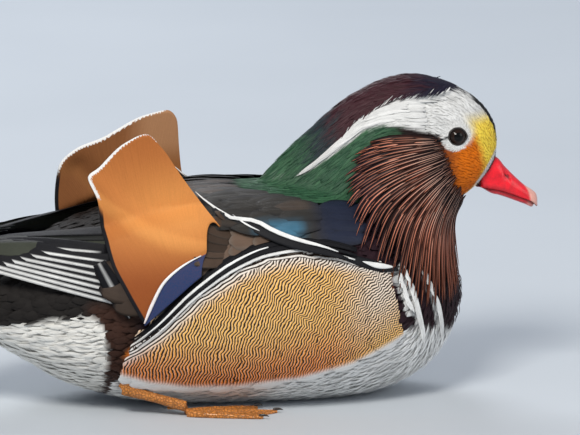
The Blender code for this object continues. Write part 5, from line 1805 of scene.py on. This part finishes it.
def make_feet(colours):
    """Scaled orange legs and webbed feet grown from the solids, with dark claws."""
    material, g, shader = new_material("foot_scales", 0.5, coat_weight=0.1)
    cells = g("ShaderNodeTexVoronoi", {"Vector": g.space(), "Scale": 700.0}, feature="DISTANCE_TO_EDGE")
    seam = g.ranged(cells.outputs["Distance"], 0.0, 0.18)
    base = g.mixed(g.noise(180.0), colours.foot, colours.foot_dark)
    set_colour(g, shader, g.mixed(seam, g.shaded(base, 0.45), base))
    set_bump(g, shader, seam, 0.7, 0.0005)
    claw_finish, g, shader = new_material("claw_horn", 0.35)
    set_colour(g, shader, g.ramp(g.noise(500.0), (0.3, colours.claw), (0.7, colours.black)))
    for word, side in SIDES.items():
        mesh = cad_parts["leg_" + word].data.copy()
        with opened(mesh) as shape:
            bmesh.ops.remove_doubles(shape, verts=shape.verts, dist=1e-6)
        made = add_object("foot_" + word, mesh)
        fine = made.modifiers.new("fine", "REMESH")
        fine.mode, fine.voxel_size = "VOXEL", 0.6 * MM
        made.modifiers.new("soft", "SMOOTH").iterations = 8
        finish(evaluated(made), material, "leg_" + word, slot="foot_skin")
        claws = add_object("claws_" + word, claws_mesh("claws_" + word, side))
        finish(claws, claw_finish, slot="foot_skin")


# ---- Stage ----

AIM = Vector((0.0430, 0.0, 0.0874))
CAMERA_AZIMUTH, CAMERA_ELEVATION = -10.0, 12.0
LENS, SENSOR, VIEW_WIDTH = 600.0, 36.0, 0.2842
FLOOR_SHADES = (0.50, 0.54, 0.58), (0.54, 0.58, 0.62)
# Lamps: name, place, size, share of the key light's power, colour
LAMPS = (
    ("key", (-0.55, -1.15, 1.35), 0.55, 1.0, (1.0, 0.96, 0.90)),
    ("rim", (-0.2, 1.3, 1.2), 0.8, 0.5, (0.95, 0.97, 1.0)),
    ("soft", (1.4, -0.7, 0.7), 1.0, 0.22, (1.0, 0.98, 0.95)),
)


def look_in(made, place):
    """Puts a lamp or the camera at a place, turned to the middle of the view."""
    made.location = place
    made.rotation_euler = (AIM - Vector(place)).to_track_quat("-Z", "Y").to_euler()


def make_stage(sizes):
    """A pale floor, soft lamps and the camera at the photograph's angle."""
    scene = bpy.context.scene
    floor = add_object("floor", bpy.data.meshes.new("floor"))
    with opened(floor.data) as shape:
        bmesh.ops.create_grid(shape, x_segments=8, y_segments=8, size=6.0)
    material, g, shader = new_material("pale_floor", 0.8)
    set_colour(g, shader, g.ramp(g.noise(3.0), (0.3, FLOOR_SHADES[0]), (0.7, FLOOR_SHADES[1])))
    set_bump(g, shader, g.noise(300.0), 0.05)
    floor.data.materials.append(material)
    floor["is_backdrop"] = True
    scene.view_settings.view_transform = "Standard"
    scene.world = bpy.data.worlds.new("studio")
    scene.world.use_nodes = True
    sky = scene.world.node_tree.nodes["Background"]
    sky.inputs[0].default_value = (0.80, 0.87, 1.0, 1)
    sky.inputs[1].default_value = sizes.fill_light
    for name, place, size, share, colour in LAMPS:
        lamp = bpy.data.lights.new(name, "AREA")
        lamp.size, lamp.energy, lamp.color = size, sizes.key_light * share, colour
        look_in(add_object(name, lamp), place)
    lens = bpy.data.cameras.new("camera")
    lens.lens, lens.sensor_width = LENS, SENSOR
    lens.clip_start, lens.clip_end = 0.5, 100.0
    azimuth, rise = math.radians(CAMERA_AZIMUTH), math.radians(CAMERA_ELEVATION)
    back = Vector((math.sin(azimuth) * math.cos(rise), -math.cos(azimuth) * math.cos(rise), math.sin(rise)))
    scene.camera = add_object("camera", lens)
    look_in(scene.camera, AIM + back * (VIEW_WIDTH * LENS / SENSOR))


# ---- Settings, operators and panel ----

def colour_of(name, default, words):
    return bpy.props.FloatVectorProperty(
        name=name, description=words, default=default, size=3, min=0.0, max=1.0, subtype="COLOR")


class DuckColours(bpy.types.PropertyGroup):
    """The plumage's colours."""

    white: colour_of("White", (0.80, 0.80, 0.78), "Eye band, bars and edges")
    black: colour_of("Black", (0.008, 0.008, 0.010), "Quills and borders")
    breast: colour_of("Breast", (0.022, 0.009, 0.013), "Maroon black of the breast")
    back: colour_of("Back", (0.020, 0.021, 0.020), "Back and mantle below the shoulder feathers")
    rump: colour_of("Rump", (0.014, 0.012, 0.011), "Sides of the rump")
    vent_brown: colour_of("Vent brown", (0.04, 0.018, 0.012), "Patch behind the flank")
    crown: colour_of("Crown", (0.012, 0.010, 0.022), "Front of the crown")
    maroon: colour_of("Maroon", (0.044, 0.012, 0.017), "Middle of the crest")
    slate: colour_of("Slate", (0.014, 0.024, 0.030), "Crest between maroon and green")
    green: colour_of("Green", (0.020, 0.066, 0.034), "Nape")
    green_light: colour_of("Light green", (0.055, 0.145, 0.070), "Glint of the nape")
    cheek: colour_of("Cheek", (0.66, 0.15, 0.004), "Orange cheek")
    cheek_brown: colour_of("Cheek brown", (0.2, 0.045, 0.01), "Cheek beside the ruff")
    yellow: colour_of("Yellow", (0.9, 0.66, 0.07), "Before the eye")
    throat: colour_of("Throat", (0.06, 0.022, 0.015), "Under the bill")
    ruff_dark: colour_of("Ruff dark", (0.012, 0.005, 0.005), "Ruff between the streaks")
    ruff_brown: colour_of("Ruff brown", (0.14, 0.032, 0.012), "Front of the ruff")
    ruff_violet: colour_of("Ruff violet", (0.035, 0.018, 0.024), "Rear of the ruff")
    ruff_pale: colour_of("Ruff pale", (0.80, 0.46, 0.34), "Streaks by the cheek")
    ruff_salmon: colour_of("Ruff salmon", (0.66, 0.24, 0.15), "Streaks half way")
    ruff_copper: colour_of("Ruff copper", (0.6, 0.18, 0.08), "Streaks at the tips")
    gold: colour_of("Gold", (0.9, 0.49, 0.11), "Upper flank")
    orange: colour_of("Orange", (0.8, 0.22, 0.025), "Lower flank")
    bar_black: colour_of("Bar black", (0.030, 0.017, 0.010), "Fine bars on the flank")
    mantle: colour_of("Mantle", (0.03, 0.027, 0.023), "Shoulder feathers")
    blue_sheen: colour_of("Blue sheen", (0.055, 0.17, 0.26), "Gloss on the shoulder")
    navy: colour_of("Navy", (0.010, 0.016, 0.040), "Shoulder beside the ruff")
    covert: colour_of("Covert", (0.12, 0.078, 0.055), "Wing coverts")
    covert_edge: colour_of("Covert edge", (0.15, 0.13, 0.11), "Borders of the coverts")
    silver: colour_of("Silver", (0.74, 0.74, 0.72), "Edges of the primaries")
    olive: colour_of("Olive", (0.045, 0.050, 0.036), "Inner quills")
    tail_dark: colour_of("Tail", (0.016, 0.013, 0.011), "Tail quills")
    cinnamon: colour_of("Cinnamon", (0.46, 0.155, 0.040), "Sail")
    cinnamon_light: colour_of("Light cinnamon", (0.68, 0.28, 0.075), "Sail where it faces the light")
    cinnamon_dark: colour_of("Dark cinnamon", (0.24, 0.058, 0.014), "Sail low down")
    # Painted shade over the far sail, and next painted light on that sail's upper front corner.
    cinnamon_shade: colour_of("Dull cinnamon", (0.15, 0.065, 0.028), "Shaded side of the sail")
    cinnamon_lit_corner: colour_of("Tan", (0.42, 0.22, 0.11), "Upper corner of the shaded sail")
    speculum: colour_of("Speculum", (0.01, 0.04, 0.12), "Blue outer web of the sail")
    crimson: colour_of("Crimson", (0.92, 0.012, 0.026), "Bill")
    crimson_dark: colour_of("Dark crimson", (0.62, 0.012, 0.022), "Clouds in the bill")
    nail: colour_of("Nail", (0.80, 0.40, 0.32), "Tip of the bill")
    # Painted shade in the nostrils and where the mandibles meet.
    bill_shade: colour_of("Bill dusk", (0.10, 0.008, 0.010), "Nostrils and cutting edge")
    lid: colour_of("Lid", (0.035, 0.026, 0.020), "Eyelids")
    pupil: colour_of("Pupil", (0.002, 0.002, 0.002), "Pupil")
    iris: colour_of("Iris", (0.022, 0.010, 0.006), "Iris")
    iris_edge: colour_of("Iris edge", (0.010, 0.006, 0.004), "Border of the iris")
    foot: colour_of("Foot", (0.72, 0.27, 0.04), "Legs and toes")
    foot_dark: colour_of("Dark foot", (0.45, 0.15, 0.03), "Clouds on the webs")
    claw: colour_of("Claw", (0.05, 0.035, 0.025), "Claws")


class DuckSizes(bpy.types.PropertyGroup):
    """Sizes and counts that a user would change."""

    face_spacing: bpy.props.FloatProperty(
        name="Face spacing", description="Distance between the face's tufts", default=0.00078,
        min=0.0005, max=0.005, unit="LENGTH", precision=5)
    body_spacing: bpy.props.FloatProperty(
        name="Body spacing", description="Distance between the body's feathers", default=0.0022,
        min=0.001, max=0.02, unit="LENGTH", precision=5)
    bar_period: bpy.props.FloatProperty(
        name="Bar period", description="Distance between the flank's fine bars", default=0.00138,
        min=0.0005, max=0.005, unit="LENGTH", precision=5)
    crest_feathers: bpy.props.IntProperty(
        name="Crest feathers", description="Feathers on crown and nape", default=4400, min=200, max=6000)
    ruff_hackles: bpy.props.IntProperty(
        name="Ruff hackles", description="Hackles in each layer of the ruff", default=30, min=8, max=60)
    flank_rows: bpy.props.IntProperty(
        name="Flank rows", description="Rows of flank feathers from front to rear", default=17,
        min=6, max=40)
    key_light: bpy.props.FloatProperty(
        name="Key light", description="Power of the main lamp", default=27.0, min=0.0, max=500.0,
        unit="POWER")
    fill_light: bpy.props.FloatProperty(
        name="Fill light", description="Strength of the light all round", default=0.40, min=0.0, max=5.0,
        subtype="FACTOR")


def settings(context):
    return context.scene.duck_colours, context.scene.duck_sizes


class DUCK_OT_skin(bpy.types.Operator):
    """Grow the skin under the coat"""
    bl_idname = "duck.skin"
    bl_label = "Skin"

    def execute(self, context):
        make_skin(context.scene.duck_colours)
        return {"FINISHED"}


class DUCK_OT_short_coat(bpy.types.Operator):
    """Set the face's tufts and the body's feathers"""
    bl_idname = "duck.short_coat"
    bl_label = "Face and body feathers"

    def execute(self, context):
        make_short_coat(*settings(context))
        return {"FINISHED"}


class DUCK_OT_crest(bpy.types.Operator):
    """Lay the crest and the nape"""
    bl_idname = "duck.crest"
    bl_label = "Crest"

    def execute(self, context):
        make_crest(*settings(context))
        return {"FINISHED"}


class DUCK_OT_ruff(bpy.types.Operator):
    """Lay the ruff's hackles on both sides"""
    bl_idname = "duck.ruff"
    bl_label = "Ruff"

    def execute(self, context):
        for word, side in SIDES.items():
            make_ruff(word, side, *settings(context))
        return {"FINISHED"}


class DUCK_OT_flanks(bpy.types.Operator):
    """Lay the barred flank feathers on both sides"""
    bl_idname = "duck.flanks"
    bl_label = "Flanks"

    def execute(self, context):
        for word, side in SIDES.items():
            make_flank(word, side, *settings(context))
        return {"FINISHED"}


class DUCK_OT_wings(bpy.types.Operator):
    """Fold the wings: coverts, secondaries, primaries and shoulder feathers"""
    bl_idname = "duck.wings"
    bl_label = "Wings"

    def execute(self, context):
        for word, side in SIDES.items():
            make_wing(word, side, context.scene.duck_colours)
            make_scapulars(word, side, context.scene.duck_colours)
        return {"FINISHED"}


class DUCK_OT_sails(bpy.types.Operator):
    """Raise the two sail feathers"""
    bl_idname = "duck.sails"
    bl_label = "Sails"

    def execute(self, context):
        for word, side in SIDES.items():
            make_sail(word, side, context.scene.duck_colours)
        return {"FINISHED"}


class DUCK_OT_tail(bpy.types.Operator):
    """Fan the tail"""
    bl_idname = "duck.tail"
    bl_label = "Tail"

    def execute(self, context):
        make_tail(context.scene.duck_colours)
        return {"FINISHED"}


class DUCK_OT_bill(bpy.types.Operator):
    """Shape the bill"""
    bl_idname = "duck.bill"
    bl_label = "Bill"

    def execute(self, context):
        make_bill(context.scene.duck_colours)
        return {"FINISHED"}


class DUCK_OT_eyes(bpy.types.Operator):
    """Set the eyes in their lids"""
    bl_idname = "duck.eyes"
    bl_label = "Eyes"

    def execute(self, context):
        make_eyes(context.scene.duck_colours)
        return {"FINISHED"}


class DUCK_OT_feet(bpy.types.Operator):
    """Finish the legs, webs and claws"""
    bl_idname = "duck.feet"
    bl_label = "Feet"

    def execute(self, context):
        make_feet(context.scene.duck_colours)
        return {"FINISHED"}


class DUCK_OT_stage(bpy.types.Operator):
    """Lay the floor and set the lamps and the camera"""
    bl_idname = "duck.stage"
    bl_label = "Stage"

    def execute(self, context):
        make_stage(context.scene.duck_sizes)
        return {"FINISHED"}


STEPS = (
    DUCK_OT_skin, DUCK_OT_short_coat, DUCK_OT_crest, DUCK_OT_ruff, DUCK_OT_flanks, DUCK_OT_wings,
    DUCK_OT_sails, DUCK_OT_tail, DUCK_OT_bill, DUCK_OT_eyes, DUCK_OT_feet, DUCK_OT_stage,
)


class DUCK_PT_model(bpy.types.Panel):
    """Lists the steps and their settings"""
    bl_idname = "DUCK_PT_model"
    bl_label = "Mandarin duck"
    bl_space_type = "VIEW_3D"
    bl_region_type = "UI"
    bl_category = "Duck"

    def draw(self, context):
        for step in STEPS:
            self.layout.operator(step.bl_idname)
        for group in settings(context):
            box = self.layout.box()
            for name in type(group).__annotations__:
                box.prop(group, name)


CLASSES = (DuckColours, DuckSizes, *STEPS, DUCK_PT_model)


def register():
    for kind in CLASSES:
        bpy.utils.register_class(kind)
    bpy.types.Scene.duck_colours = bpy.props.PointerProperty(type=DuckColours)
    bpy.types.Scene.duck_sizes = bpy.props.PointerProperty(type=DuckSizes)


def unregister():
    del bpy.types.Scene.duck_sizes
    del bpy.types.Scene.duck_colours
    for kind in reversed(CLASSES):
        bpy.utils.unregister_class(kind)


def plain(box):
    return [[float(value) for value in corner] for corner in box]


def main():
    register()
    for step in STEPS:
        group, name = step.bl_idname.split(".")
        getattr(getattr(bpy.ops, group), name)()
    {"cad": plain(CAD_BOX), "visual": plain(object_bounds())}


if __name__ == "__main__":
    main()
